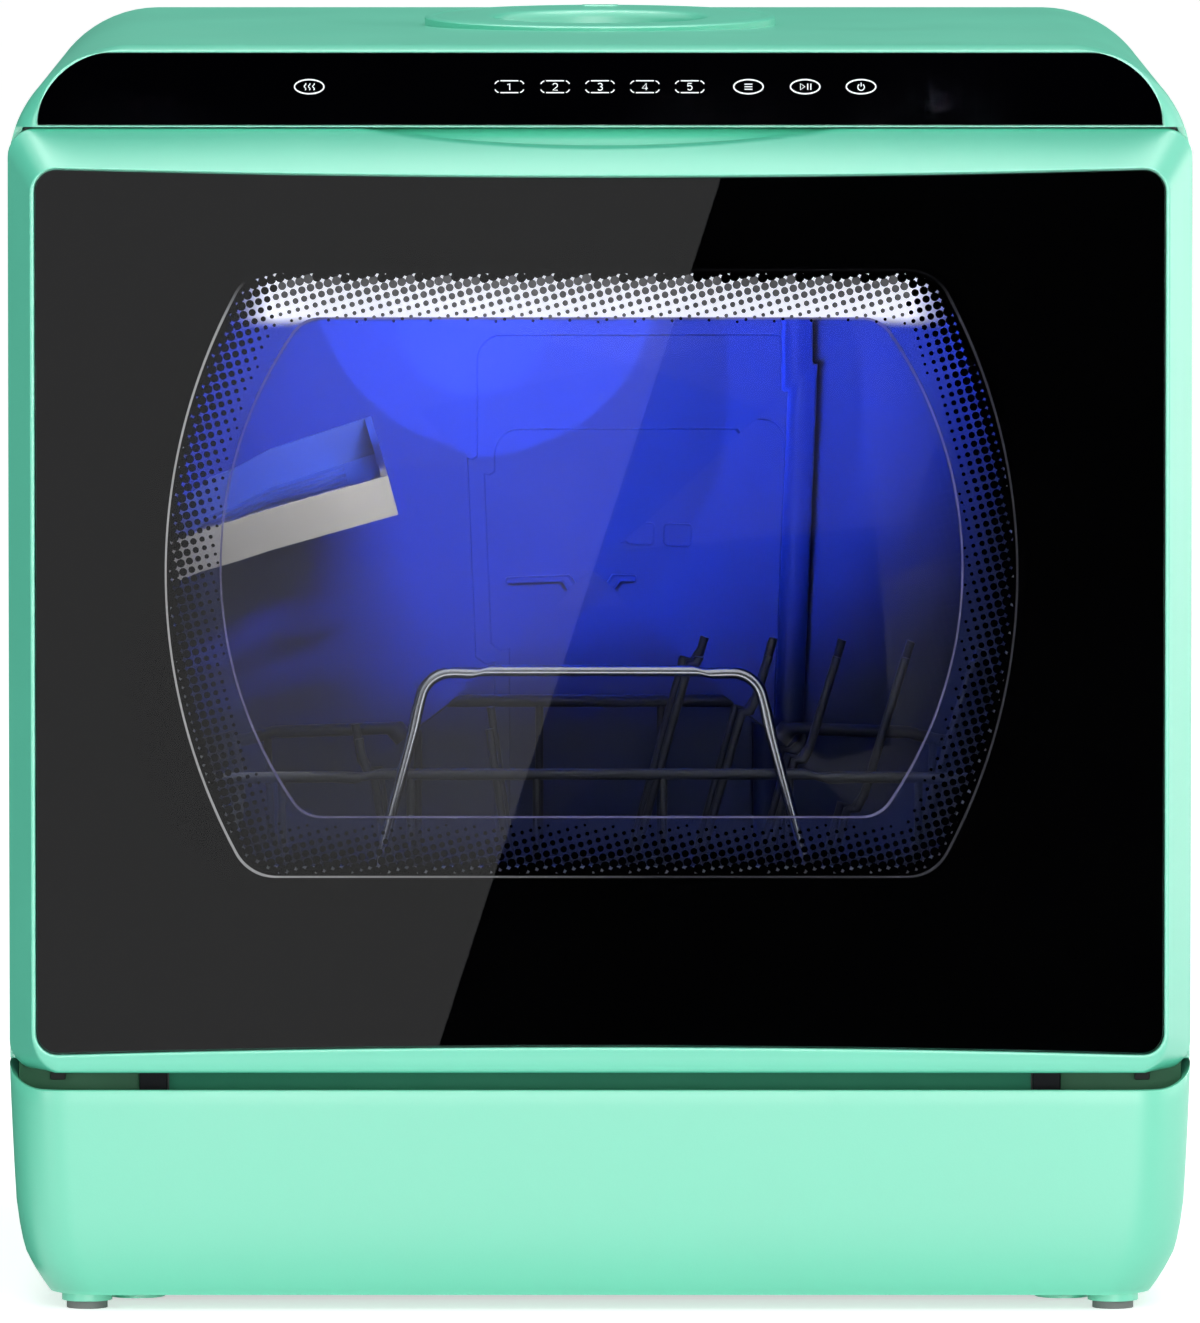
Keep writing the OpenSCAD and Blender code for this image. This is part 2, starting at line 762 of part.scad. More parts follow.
module sump() {
  z_top = tub_z0 - tub_t;
  z_low = z_top - sump_depth;
  t = 2.4;
  color("dimgray") translate([0, sump_y, 0]) {
    difference() {
      union() {
        translate([0, 0, z_low]) cylinder(h = sump_depth, r = sump_r);
        translate([0, 0, z_top - 3]) cylinder(h = 3, r = sump_r + 8);
        // necks for the wash pump and the drain pump
        translate([-sump_r - 10, 0, z_low + 16]) rotate([0, 90, 0]) cylinder(h = 14, r = 11);
        translate([sump_r - 4, 0, z_low + 16]) rotate([0, 90, 0]) cylinder(h = 14, r = 9);
      }
      translate([0, 0, z_low + t]) cylinder(h = sump_depth + 5, r = sump_r - t);
      translate([-sump_r - 11, 0, z_low + 16]) rotate([0, 90, 0]) cylinder(h = 16, r = 9);
      translate([sump_r - 6, 0, z_low + 16]) rotate([0, 90, 0]) cylinder(h = 18, r = 7);
      for (side = [-1, 1]) translate([side * heat_x, -heat_y, z_low - 1])
        cylinder(h = 5, r = heat_leg_r + 0.2);
    }
  }
}

module sump_filter() {
  z = tub_z0 - tub_t - 6;
  color("silver") translate([0, sump_y, z]) difference() {
    cylinder(h = 1.2, r = sump_r - 2.4 - 0.1);
    translate([0, 0, -1]) cylinder(h = 4, r = filter_r + 0.3);
    for (ring = [[27, 20], [32, 24], [37, 28]], i = [0:ring[1] - 1])
      rotate(i * 360 / ring[1]) translate([ring[0], 0, -1]) cylinder(h = 4, r = 1.3, $fn = 16);
  }
}

// Cup that turns to unlock and lifts out
module filter_cup() {
  z_top = tub_z0 - tub_t - 4.8 + rest_gap;
  cup_h = 26;
  color("gray") translate([0, sump_y, z_top - cup_h]) {
    difference() {
      union() {
        cylinder(h = cup_h, r = filter_r);
        translate([0, 0, cup_h]) cylinder(h = 1.5, r = filter_r + 3);
      }
      translate([0, 0, 1.6]) cylinder(h = cup_h + 2, r = filter_r - 1.6);
      for (i = [0:11]) rotate(i * 30) translate([filter_r - 4, -1.2, 5]) cube([8, 2.4, 16]);
    }
    translate([-1.2, -filter_r + 0.5, cup_h - 1]) cube([2.4, 2 * filter_r - 1, 8]);
  }
}

heat_r = 3;
heat_leg_r = 3.6;
heat_x = 14;
heat_y = 26;

// Tubular heater: a ring in the sump with two legs through its floor
module heater() {
  z_ring = tub_z0 - tub_t - sump_depth + 6.5;
  a = atan2(heat_y, heat_x);
  color("silver") translate([0, sump_y, 0]) {
    translate([0, 0, z_ring]) rotate([0, 0, -a]) rotate_extrude(angle = 180 + 2 * a)
      translate([norm([heat_x, heat_y]), 0]) circle(heat_r);
    for (side = [-1, 1]) translate([side * heat_x, -heat_y, z_ring - 18])
      cylinder(h = 18 + heat_r + 0.6, r = heat_leg_r);
  }
}

pump_x = -sump_r - 10;
pump_z = tub_z0 - tub_t - sump_depth + 16;
pump_r = 27;
volute_l = 16;

// Wash pump: volute on the sump's neck, motor behind it
module wash_pump() {
  motor_l = 58;
  color("dimgray") translate([pump_x, sump_y, pump_z]) rotate([0, -90, 0]) {
    difference() {
      union() {
        cylinder(h = volute_l, r = pump_r);
        // outlet towards the spray arm's post
        translate([0, -pump_r + 9, volute_l / 2]) rotate([90, 0, 0]) cylinder(h = 26, r = 7);
      }
      translate([0, 0, -1]) cylinder(h = 5, r = 9);
      translate([0, 0, 3]) cylinder(h = volute_l - 6, r = pump_r - 3);
      translate([0, 0, volute_l - 4]) cylinder(h = 5, r = 2 + run_gap);
      translate([0, -pump_r + 10, volute_l / 2]) rotate([90, 0, 0]) cylinder(h = 28, r = 4.8);
    }
    difference() {
      translate([0, 0, volute_l]) cylinder(h = motor_l, r = pump_r - 3);
      translate([0, 0, volute_l - 1]) cylinder(h = 12, r = 2 + run_gap);
    }
  }
}

module pump_impeller() {
  vanes = 6;
  color("white") translate([pump_x, sump_y, pump_z]) rotate([0, -90, 0]) {
    translate([0, 0, 5]) cylinder(h = volute_l + 4, r = 2);
    translate([0, 0, 8.5]) cylinder(h = 2, r = pump_r - 6);
    for (i = [0:vanes - 1]) rotate(i * 360 / vanes) translate([5, -0.8, 4.2]) cube([14, 1.6, 5]);
  }
}

module drain_pump() {
  x0 = sump_r + 10;
  color("dimgray") translate([x0, sump_y, pump_z]) rotate([0, 90, 0]) {
    tube(18, 7, 12.5);
    translate([0, 0, 12]) cylinder(h = 40, r = 20);
    translate([0, 17, 6]) rotate([-90, 0, 0]) cylinder(h = 13, r = 5.7);
  }
}

// Hose from the wash pump's outlet to the lower arm's post
wash_out_y = sump_y - pump_r + 9 - 26;
pump_hose_r = 8.8;
pump_hose_turn = 14;

module wash_hose_path(shrink) {
  r = pump_hose_r - shrink;
  x = pump_x - volute_l / 2;
  translate([x, arm_y + pump_hose_turn - lap, pump_z]) rotate([-90, 0, 0])
    cylinder(h = wash_out_y + 10 - arm_y - pump_hose_turn + lap, r = r);
  translate([x + pump_hose_turn, arm_y + pump_hose_turn, pump_z])
    bend(180, 90, pump_hose_turn, r);
  translate([x + pump_hose_turn - lap, arm_y, pump_z]) rotate([0, 90, 0])
    cylinder(h = -x - pump_hose_turn + lap - manifold_r + 1, r = r);
}

module wash_hose() {
  color("black") difference() {
    wash_hose_path(0);
    wash_hose_path(pump_hose_r - 7);
    translate([0, arm_y, pump_z - 20]) cylinder(h = 40, r = manifold_r);
  }
}

// Hose from the drain pump to the outlet on the rear panel
drain_out_y = sump_y + 30;

module drain_hose_path(shrink) {
  r = pump_hose_r - 1 - shrink;
  x = drain_x;
  t = pump_hose_turn;
  y1 = y_back - rear_t - 10 - 2 * t - 4;
  translate([x, drain_out_y - 8, pump_z]) rotate([-90, 0, 0])
    cylinder(h = y1 - drain_out_y + 8 + lap, r = r);
  translate([x, y1, pump_z + t]) rotate([0, 0, 90]) bend_up(270, 90, t, r);
  translate([x, y1 + t, pump_z + t - lap]) cylinder(h = drain_z - pump_z - 2 * t + 2 * lap, r = r);
  translate([x, y1 + 2 * t, drain_z - t]) rotate([0, 0, 90]) bend_up(90, 90, t, r);
  translate([x, y1 + 2 * t - lap, drain_z]) rotate([-90, 0, 0]) cylinder(h = 4 + lap, r = r);
}

module drain_hose() {
  color("black") difference() {
    drain_hose_path(0);
    drain_hose_path(pump_hose_r - 1 - 6);
  }
}

// ---------- spray arms ----------

axle_r = 4;

// Feed pipe through the tub, with the axle that the arm turns on
module arm_post(length) {
  cylinder(h = length, r = arm_post_r);
  cylinder(h = 2, r = arm_post_r + 4);
  translate([0, 0, length - 1]) cylinder(h = arm_t + 2, r = axle_r);
  translate([0, 0, length + arm_t + 2 * rest_gap]) cylinder(h = 1.6, r = axle_r + 2.5);
}

// The lower post reaches down through the tub's floor to the wash pump's hose
module lower_arm_post() {
  z0 = pump_z - pump_hose_r - 3;
  color("gainsboro") difference() {
    union() {
      translate([0, arm_y, tub_z0]) arm_post(low_arm_z - tub_z0 - rest_gap);
      translate([0, arm_y, z0]) cylinder(h = tub_z0 - z0 + 1, r = manifold_r);
    }
    translate([0, arm_y, z0 + 2]) cylinder(h = low_arm_z - z0 + 2, r = axle_r - 1.5);
    translate([0, arm_y, pump_z]) rotate([0, -90, 0]) cylinder(h = 20, r = 5);
    translate([0, arm_y, feed_z]) rotate([0, 90, 0]) cylinder(h = 20, r = feed_r - 1.5);
  }
}

// Pipe from the lower post, under the floor and up the back wall, to the upper arm's post
feed_r = 5;
feed_x = 62;
feed_turn = 11;
feed_z = tub_z0 - tub_t - feed_r - 2;
feed_y = y_tub_back - feed_r - 2;
ceiling_z = tub_z1 - feed_r - 1;
manifold_r = 9;

module feed_path(shrink) {
  r = feed_r - shrink;
  t = feed_turn;
  translate([manifold_r + 0.1 - shrink, arm_y, feed_z]) rotate([0, 90, 0])
    cylinder(h = feed_x - t - manifold_r + lap + shrink, r = r);
  translate([feed_x - t, arm_y + t, feed_z]) bend(270, 90, t, r);
  translate([feed_x, arm_y + t - lap, feed_z]) rotate([-90, 0, 0])
    cylinder(h = feed_y - arm_y - 2 * t + 2 * lap, r = r);
  translate([feed_x, feed_y - t, feed_z + t]) rotate([0, 0, 90]) bend_up(270, 90, t, r);
  translate([feed_x, feed_y, feed_z + t - lap])
    cylinder(h = ceiling_z - feed_z - 2 * t + 2 * lap, r = r);
  translate([feed_x, feed_y - t, ceiling_z - t]) rotate([0, 0, 90]) bend_up(0, 90, t, r);
  translate([feed_x, arm_y + t - lap, ceiling_z]) rotate([-90, 0, 0])
    cylinder(h = feed_y - arm_y - 2 * t + 2 * lap, r = r);
  translate([feed_x - t, arm_y + t, ceiling_z]) bend(270, 90, t, r);
  translate([-shrink, arm_y, ceiling_z]) rotate([0, 90, 0])
    cylinder(h = feed_x - t + lap + shrink, r = r);
}

module feed_pipe() {
  color("gainsboro") difference() {
    union() {
      feed_path(0);
      translate([0, arm_y, tub_z1]) rotate([180, 0, 0])
        arm_post(tub_z1 - high_arm_z - arm_t - rest_gap);
      // collar on the tub's floor
      translate([feed_x, feed_y, tub_z0]) cylinder(h = 2, r = feed_r + 2);
    }
    feed_path(1.5);
  }
}

// Hollow arm with a row of nozzles on its upper face
module spray_arm() {
  nozzle_at = [-105, -84, -58, -34, 44, 70, 92, 110];
  difference() {
    union() {
      linear_extrude(arm_t) {
        square([2 * arm_r - arm_w, arm_w - 6], center = true);
        for (side = [-1, 1]) translate([side * (arm_r - arm_w / 2), 0]) circle(arm_w / 2);
      }
      cylinder(h = arm_t, r = 19);
    }
    translate([0, 0, -1]) cylinder(h = arm_t + 2, r = axle_r + run_gap);
    for (x = nozzle_at) translate([x, 2, arm_t - 2]) cylinder(h = 4, r = 1.6, $fn = 20);
    translate([0, 0, 1.5]) tube_ring(14, 7, arm_t - 3);
    for (side = [-1, 1]) translate([side * 60, 0, arm_t / 2])
      cube([88, arm_w - 10, arm_t - 3], center = true);
  }
}

module tube_ring(r, bore, h) {
  difference() {
    cylinder(h = h, r = r);
    translate([0, 0, -1]) cylinder(h = h + 2, r = bore);
  }
}

module lower_spray_arm() {
  color("silver") translate([0, arm_y, low_arm_z]) rotate(24) spray_arm();
}

module upper_spray_arm() {
  color("silver") translate([0, arm_y, high_arm_z + arm_t]) rotate([180, 0, 12]) spray_arm();
}

// ---------- float, latch and hinges ----------

float_x = 120;
float_y = -135;
float_r = 13;
float_travel = 8;

module float_guide() {
  color("gainsboro") translate([float_x, float_y, 0]) {
    translate([0, 0, tub_z0 - 34]) tube(float_r + 2, 4 + run_gap + 0.4, 3);
    translate([0, 0, tub_z0 - 34]) tube(float_r + 2, float_r, 34);
  }
}

module float() {
  color("white") translate([float_x, float_y, tub_z0 - 31 + rest_gap]) {
    cylinder(h = 26, r = float_r - 1);
    translate([0, 0, -12]) cylinder(h = 12.5, r = 4);
  }
}

latch_x = 118;
latch_z = (opening_z1 + console_z0) / 2 + 0.3;
hook_l = 15;

module latch_catch() {
  y0 = y_tub;
  color("dimgray") difference() {
    translate([latch_x - 13, y0, latch_z - 5]) cube([26, 28, 14]);
    translate([latch_x - 7, y0 - 1, latch_z - 3.5]) cube([14, 24, 10.2]);
  }
}

module latch_hook() {
  color("silver") {
    translate([latch_x - 4, y_door_back, latch_z - 1.5]) cube([8, hook_l, 3]);
    translate([latch_x - 4, y_door_back + hook_l - 3, latch_z + 1.5]) cube([8, 3, 2]);
  }
}

arm_x_half = 5;
eye_r = 7;

// Black steel arms on the front frame that carry the door's pins
module hinge_arms() {
  bracket_t = 3;
  color("black") for (side = [-1, 1]) difference() {
    union() {
      translate([side * hinge_x - arm_x_half, y_cab - bracket_t, trough_z])
        cube([2 * arm_x_half, bracket_t, hinge_z + eye_r - trough_z]);
      translate([side * hinge_x - arm_x_half, hinge_y, hinge_z - 4])
        cube([2 * arm_x_half, y_cab - hinge_y, 8]);
      translate([side * hinge_x - arm_x_half, hinge_y, hinge_z]) rotate([0, 90, 0])
        cylinder(h = 2 * arm_x_half, r = eye_r);
    }
    translate([side * hinge_x - arm_x_half - 1, hinge_y, hinge_z]) rotate([0, 90, 0])
      cylinder(h = 2 * arm_x_half + 2, r = pin_r);
  }
}

pin_l = 30;

module hinge_pins() {
  color("silver") for (side = [-1, 1])
    translate([side * hinge_x - pin_l / 2, hinge_y, hinge_z]) rotate([0, 90, 0])
      cylinder(h = pin_l, r = pin_r);
}

// Small black buffers at the ends of the slot
module slot_stops() {
  color("black") for (side = [-1, 1])
    translate([side * (half_w - 17) - 2.7, y_cab - 3, lip_z + 1.5]) cube([5.4, 3, slot_h - 1]);
}

// ---------- door ----------

// The glass outline: a rounded rectangle whose top and bottom edges bow in
module glass_outline(grow) {
  half = glass_half + grow;
  z0 = glass_z0 - grow;
  z1 = glass_z1 + grow;
  bow_r = (half * half + glass_bow * glass_bow) / (2 * glass_bow);
  r = glass_corner + grow;
  difference() {
    round_rect(-half, half, z0, z1, r);
    translate([0, z1 - glass_bow + bow_r]) circle(bow_r, $fn = 360);
    translate([0, z0 + glass_bow - bow_r]) circle(bow_r, $fn = 360);
  }
}

// The door's outside: straight skirt, then the bevel up to the glass
module door_solid(gap) {
  skirt_r = 10;
  hull() {
    along_y(y_glass + bevel_d, y_door_back) round_rect(-half_w + gap, half_w - gap,
      door_z0 + gap, door_z1 - gap, skirt_r, $fn = hull_fn);
    along_y(y_glass + gap, y_glass + gap + eps) round_rect(-door_front_half + gap,
      door_front_half - gap, door_front_z0 + gap, door_front_z1 - gap,
      glass_corner + glass_rim, $fn = hull_fn);
  }
}

// What has to go so that the door's lower back edge can turn: all but a round nose
module hinge_relief() {
  nose_r = y_door_back - hinge_y;
  difference() {
    translate([-half_w - 1, hinge_y, door_z0 - 1])
      cube([body_w + 2, nose_r + 1, hinge_z - door_z0 + 1]);
    translate([-half_w - 2, hinge_y, hinge_z]) rotate([0, 90, 0])
      cylinder(h = body_w + 4, r = nose_r);
  }
}

arm_slot = 1;

// Room in the door for the hinge arms, from straight back to straight down
module arm_pocket() {
  for (side = [-1, 1]) translate([side * hinge_x - arm_x_half - arm_slot, 0, 0]) {
    w = 2 * (arm_x_half + arm_slot);
    translate([0, hinge_y, hinge_z]) rotate([0, 90, 0]) cylinder(h = w, r = eye_r + 1);
    translate([0, hinge_y - 5, door_z0 - 1]) cube([w, door_t, hinge_z - door_z0 + 1]);
    translate([0, hinge_y, door_z0 - 1]) cube([w, door_t, hinge_z - door_z0 + 6]);
    translate([0, y_door_back - 5, door_z0 - 1]) cube([w, 8, hinge_z + eye_r - door_z0 + 2.5]);
  }
}

module door_frame() {
  scoop_r = (scoop_w * scoop_w / 4 + scoop_h * scoop_h) / (2 * scoop_h);
  boss_z = hinge_z - door_z0 + 9;
  color("mediumaquamarine") difference() {
    union() {
      difference() {
        door_solid(0);
        // hollow back, behind the ledge that the glass rests on
        along_y(y_print_back + ledge_t, y_door_back + 1)
          round_rect(-glass_half + 1, glass_half - 1, hinge_z + 9, door_front_z1 - scoop_h - 1, 5);
      }
    }
    along_y(y_glass - 1, y_print_back) glass_outline(glass_fit);
    along_y(y_print_back - 1, y_door_back) round_rect(-glass_half + ledge_w, glass_half - ledge_w,
      glass_z0 + ledge_w + 1.5, glass_z1 - ledge_w - 1.5, glass_corner);
    hinge_relief();
    arm_pocket();
    for (side = [-1, 1]) translate([side * hinge_x - pin_l / 2 - 0.5, hinge_y, hinge_z])
      rotate([0, 90, 0]) cylinder(h = pin_l + 1, r = pin_r + run_gap);
    // finger scoop in the top edge
    along_y(y_glass - 1, y_door_back + 1) translate([0, door_z1 - scoop_h + scoop_r])
      circle(scoop_r, $fn = 360);
  }
}

module door_glass() {
  color([0.1, 0.1, 0.1, 0.5]) along_y(y_glass_front, y_glass_back) glass_outline(0);
}

// The window's outline, drawn in by inset: flat top and bottom, sides bulging out
module window_outline(inset, r) {
  half = window_half_w - inset;
  end_half = window_end_half_w - inset;
  h = (window_z1 - window_z0) / 2 - inset;
  sag = half - end_half;
  side_r = (h * h + sag * sag) / (2 * sag);
  bulge = [for (i = [-window_n:window_n]) let (z = h * i / window_n)
    [half - side_r + sqrt(side_r * side_r - z * z), z]];
  translate([window_x, (window_z0 + window_z1) / 2])
    offset(r, $fn = hull_fn) offset(-r, $fn = hull_fn)
      polygon(concat(bulge, [for (i = [2 * window_n:-1:0]) [-bulge[i][0], bulge[i][1]]]));
}

module glass_print() {
  color("black") along_y(y_glass_back, y_print_back) difference() {
    glass_outline(0);
    window_outline(0, 16);
  }
}

// The bezel behind the window: a funnel from the glass back to the inner pane
module bezel_solid(grow) {
  hull() {
    along_y(y_print_back + 0.2, y_print_back + 0.2 + eps) window_outline(-grow, 16);
    along_y(y_liner - liner_t, y_liner) window_outline(window_taper - grow, 12);
  }
}

module door_liner() {
  flange_half = glass_half - 1 - glass_fit;
  flange_z0 = hinge_z + 9 + glass_fit;
  flange_z1 = door_front_z1 - scoop_h - 1 - glass_fit;
  pane = window_taper - pane_lap;
  color("whitesmoke") difference() {
    union() {
      difference() {
        union() {
          along_y(y_door_back - liner_t, y_door_back)
            round_rect(-flange_half, flange_half, flange_z0, flange_z1, 5);
          along_y(y_door_back - eps, y_liner)
            round_rect(-liner_half, liner_half, liner_z0, liner_z1, liner_r);
        }
        along_y(y_door_back - liner_t - 1, y_liner - liner_t) round_rect(-liner_half + liner_t,
          liner_half - liner_t, liner_z0 + liner_t, liner_z1 - liner_t, liner_r - liner_t);
      }
      difference() {
        bezel_solid(liner_t);
        translate([-half_w, y_liner - 1, 0]) cube([body_w, 10, body_h]);
      }
      along_y(y_liner - liner_t - pane_t, y_liner) window_outline(pane - 3, 14);
    }
    bezel_solid(0);
    along_y(y_liner - pane_t, y_liner + 1) window_outline(pane - rest_gap, 14);
  }
}

module inner_window() {
  pane = window_taper - pane_lap;
  color([0.8, 0.9, 1, 0.3]) along_y(y_liner - pane_t, y_liner) window_outline(pane, 14);
}

// ---------- cup shelf ----------

module shelf_brackets() {
  color("gainsboro") for (y = [shelf_y0 - 6, shelf_y1 + 1]) difference() {
    union() {
      translate([-tub_w / 2, y, shelf_z - 7]) cube([shelf_x + tub_w / 2, 5, 14]);
      translate([shelf_x, y, shelf_z]) rotate([-90, 0, 0]) cylinder(h = 5, r = 7);
    }
    translate([shelf_x, y - 1, shelf_z]) rotate([-90, 0, 0])
      cylinder(h = 7, r = shelf_pin_r + run_gap);
  }
}

// Tray with a lip all round, slots in its floor and two hinge stubs
module cup_shelf() {
  l = shelf_y1 - shelf_y0;
  color("whitesmoke") translate([shelf_x, 0, shelf_z]) rotate([0, -shelf_tilt, 0]) {
    difference() {
      translate([4, shelf_y0, 0]) cube([shelf_l - 4, l, shelf_lip]);
      translate([4 + shelf_t, shelf_y0 + shelf_t, shelf_t])
        cube([shelf_l - 4 - 2 * shelf_t, l - 2 * shelf_t, shelf_lip]);
      for (i = [0:8]) translate([14, shelf_y0 + 14 + i * 18, -1]) cube([shelf_l - 28, 9, 5]);
    }
    translate([0, shelf_y0, 0]) rotate([-90, 0, 0]) cylinder(h = l, r = 4.5);
    translate([0, shelf_y0 - 5.5, 0]) rotate([-90, 0, 0]) cylinder(h = l + 11, r = shelf_pin_r);
  }
}

// ---------- rack ----------

cross_n = 9;
long_n = 13;
weld = 0.15;

// Welded floor: wires across on top, wires along below them
module rack_floor() {
  z = floor_z;
  r = wire / 2;
  sink = weld * 2;
  edge = rim_wire / 2;
  color("darkslategray") {
    for (i = [0:cross_n - 1]) translate([-rack_half + edge, y_rack + edge + i * (rack_d - 2 * edge) /
      (cross_n - 1), z + wire - sink]) rotate([0, 90, 0]) cylinder(h = rack_w - 2 * edge, r = r);
    for (i = [0:long_n - 1]) translate([-rack_half + edge + i * (rack_w - 2 * edge) / (long_n - 1),
      y_rack + edge - r, z]) rotate([-90, 0, 0]) cylinder(h = rack_d - 2 * edge + wire, r = r);
  }
}

// One flat side of the basket: rim wire with its uprights
module rack_fence(length, count, foot) {
  r = rim_wire / 2;
  pitch = (length - 2 * r) / (count - 1);
  translate([-length / 2, 0, rim_z]) rotate([0, 90, 0]) cylinder(h = length, r = r);
  for (i = [0:count - 1]) translate([-length / 2 + r + i * pitch, 0, foot])
    cylinder(h = rim_z - foot, r = wire / 2);
}

module rack_ends() {
  color("darkslategray") for (y = [y_rack + rim_wire / 2, y_rack_back - rim_wire / 2])
    translate([0, y, 0]) rack_fence(rack_w, 8, floor_z + wire * 1.5 - weld * 2);
}

module rack_sides() {
  color("darkslategray") for (side = [-1, 1])
    translate([side * (rack_half - rim_wire / 2), (y_rack + y_rack_back) / 2, 0]) rotate(90)
      rack_fence(rack_d - 2 * rim_wire, 6, floor_z + wire / 2 - weld);
}

// Two rows for plates on the right, two rows for bowls on the left
plate_x0 = rack_half - 152;
plate_n = 6;
bowl_x0 = 41 - rack_half;
bowl_pitch = 44;
bowl_n = 3;
tine_rows = [y_rack + 76, y_rack + 150];

tine_seat = 0.02;

module tine_row(x0, count, pitch, lean, height) {
  base_z = floor_z + wire - weld;
  // a leaning tine's square end stands this high on its base wire
  foot = wire / 2 * (1 + abs(lean) / norm([lean, height])) + tine_seat;
  rod([x0 - 8, 0, base_z], [x0 + (count - 1) * pitch + 8, 0, base_z], wire / 2);
  for (i = [0:count - 1]) rod([x0 + i * pitch + lean * foot / height, 0, base_z + foot],
    [x0 + i * pitch + lean, 0, base_z + height], wire / 2);
}

module rack_tines() {
  color("darkslategray") for (y = tine_rows) translate([0, y, 0]) {
    tine_row(plate_x0, plate_n, tine_pitch, 26, 88);
    tine_row(bowl_x0, bowl_n, bowl_pitch, -9, 60);
  }
}

// Bright steel bow on the front rim, leaning in towards its top
handle_lean = 15;

module rack_handle() {
  r = rim_wire / 2;
  bend_r = 11;
  below = 42;
  y = y_rack - rim_wire / 2 + 0.4;
  turn = 90 - handle_lean;
  // half length of the bow's straight top, so that the legs pass the rim handle_w apart
  drop = handle_h - bend_r + bend_r * sin(handle_lean);
  top = handle_w / 2 - drop * tan(handle_lean) - bend_r * cos(handle_lean);
  leg = (drop + below) / cos(handle_lean);
  color("silver") translate([window_x, 0, 0]) {
    translate([-top - lap, y, rim_z + handle_h]) rotate([0, 90, 0])
      cylinder(h = 2 * (top + lap), r = r);
    for (side = [0, 1]) mirror([side, 0, 0])
      translate([top, y, rim_z + handle_h - bend_r]) rotate([90, 0, 0]) rotate(handle_lean) {
        rotate_extrude(angle = turn) translate([bend_r, 0]) circle(r + bend_step);
        translate([bend_r, lap, 0]) rotate([90, 0, 0]) cylinder(h = leg + lap, r = r);
      }
  }
}

module rack_glides() {
  l = 60;
  x = rack_half + 2;
  color("white") for (side = [-1, 1], y = [y_rack + 24, y_rack_back - 24 - l])
    translate([side * x - 6, y, rail_z + rest_gap]) cube([12, l, glide_h]);
}

// ---------- what is drawn ----------

module on_door() {
  translate([0, hinge_y, hinge_z]) rotate([door_angle, 0, 0]) translate([0, -hinge_y, -hinge_z])
    children();
}

module on_rack() {
  translate([0, -rack_out, 0]) children();
}

base_shell();
bottom_plate();
foot_collars();
foot_pads();
casing();
console_front();
control_panel();
display_board();
inlet_funnel();
inlet_strainer();
inlet_hose();
rear_panel();
rear_screws();
inlet_valve();
drain_outlet();
cord_gland();
front_frame();
finger_pocket();
door_gasket();
tub();
tub_rails();
lamp_lens();
water_tank();
control_board();
fan_housing();
fan_impeller();
air_duct();
sump();
sump_filter();
filter_cup();
heater();
wash_pump();
pump_impeller();
drain_pump();
wash_hose();
drain_hose();
lower_arm_post();
lower_spray_arm();
feed_pipe();
upper_spray_arm();
float_guide();
float();
latch_catch();
hinge_arms();
hinge_pins();
slot_stops();
on_door() door_frame();
on_door() door_glass();
on_door() glass_print();
on_door() door_liner();
on_door() inner_window();
on_door() latch_hook();
shelf_brackets();
cup_shelf();
on_rack() rack_floor();
on_rack() rack_ends();
on_rack() rack_sides();
on_rack() rack_tines();
on_rack() rack_handle();
on_rack() rack_glides();
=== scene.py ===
import math

import bmesh
import bpy
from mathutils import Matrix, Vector


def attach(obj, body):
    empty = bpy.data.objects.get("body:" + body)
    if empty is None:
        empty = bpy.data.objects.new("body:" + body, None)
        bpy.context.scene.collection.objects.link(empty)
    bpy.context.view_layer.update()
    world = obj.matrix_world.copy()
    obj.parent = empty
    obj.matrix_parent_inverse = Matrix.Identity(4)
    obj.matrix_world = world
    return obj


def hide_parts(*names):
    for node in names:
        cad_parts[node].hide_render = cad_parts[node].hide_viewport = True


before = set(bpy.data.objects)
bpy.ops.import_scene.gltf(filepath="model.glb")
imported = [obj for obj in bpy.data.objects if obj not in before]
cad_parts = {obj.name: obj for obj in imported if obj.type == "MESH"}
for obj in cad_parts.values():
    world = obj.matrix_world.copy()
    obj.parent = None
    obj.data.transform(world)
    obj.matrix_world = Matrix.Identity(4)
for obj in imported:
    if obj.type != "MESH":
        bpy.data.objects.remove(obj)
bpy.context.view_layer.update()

scene = bpy.context.scene

# ---------------------------------------------------------------- camera
# A long lens, six metres in front of the door and a little above it, looking slightly down.
view = bpy.data.cameras.new("camera")
view.lens = 485.6
view.clip_end = 200
camera = bpy.data.objects.new("camera", view)
camera.location = (0, -6.515, 0.681)
camera.rotation_euler = (math.radians(90 - 4.08), 0, 0)
scene.collection.objects.link(camera)
scene.camera = camera

# ---------------------------------------------------------------- studio
# A pale floor, a pale surround and seven soft boxes. Grey and black cards stand round the
# machine, where only mirrored and transmitted rays meet them.

def srgb(r, g, b):
    def linear(c):
        c /= 255
        return c / 12.92 if c <= 0.04045 else ((c + 0.055) / 1.055) ** 2.4
    return (linear(r), linear(g), linear(b), 1)

def new_material(name):
    material = bpy.data.materials.new(name)
    material.use_nodes = True
    return material, material.node_tree.nodes, material.node_tree.links

def feed(links, socket, value):
    """Links a socket to a node's output, or sets it to a plain value."""
    if isinstance(value, bpy.types.NodeSocket):
        links.new(value, socket)
    else:
        socket.default_value = value

def set_inputs(node, values):
    for label, value in values.items():
        node.inputs[label].default_value = value

def math_node(nodes, links, operation, *values):
    node = nodes.new("ShaderNodeMath")
    node.operation = operation
    for socket, value in zip(node.inputs, values):
        feed(links, socket, value)
    return node.outputs[0]

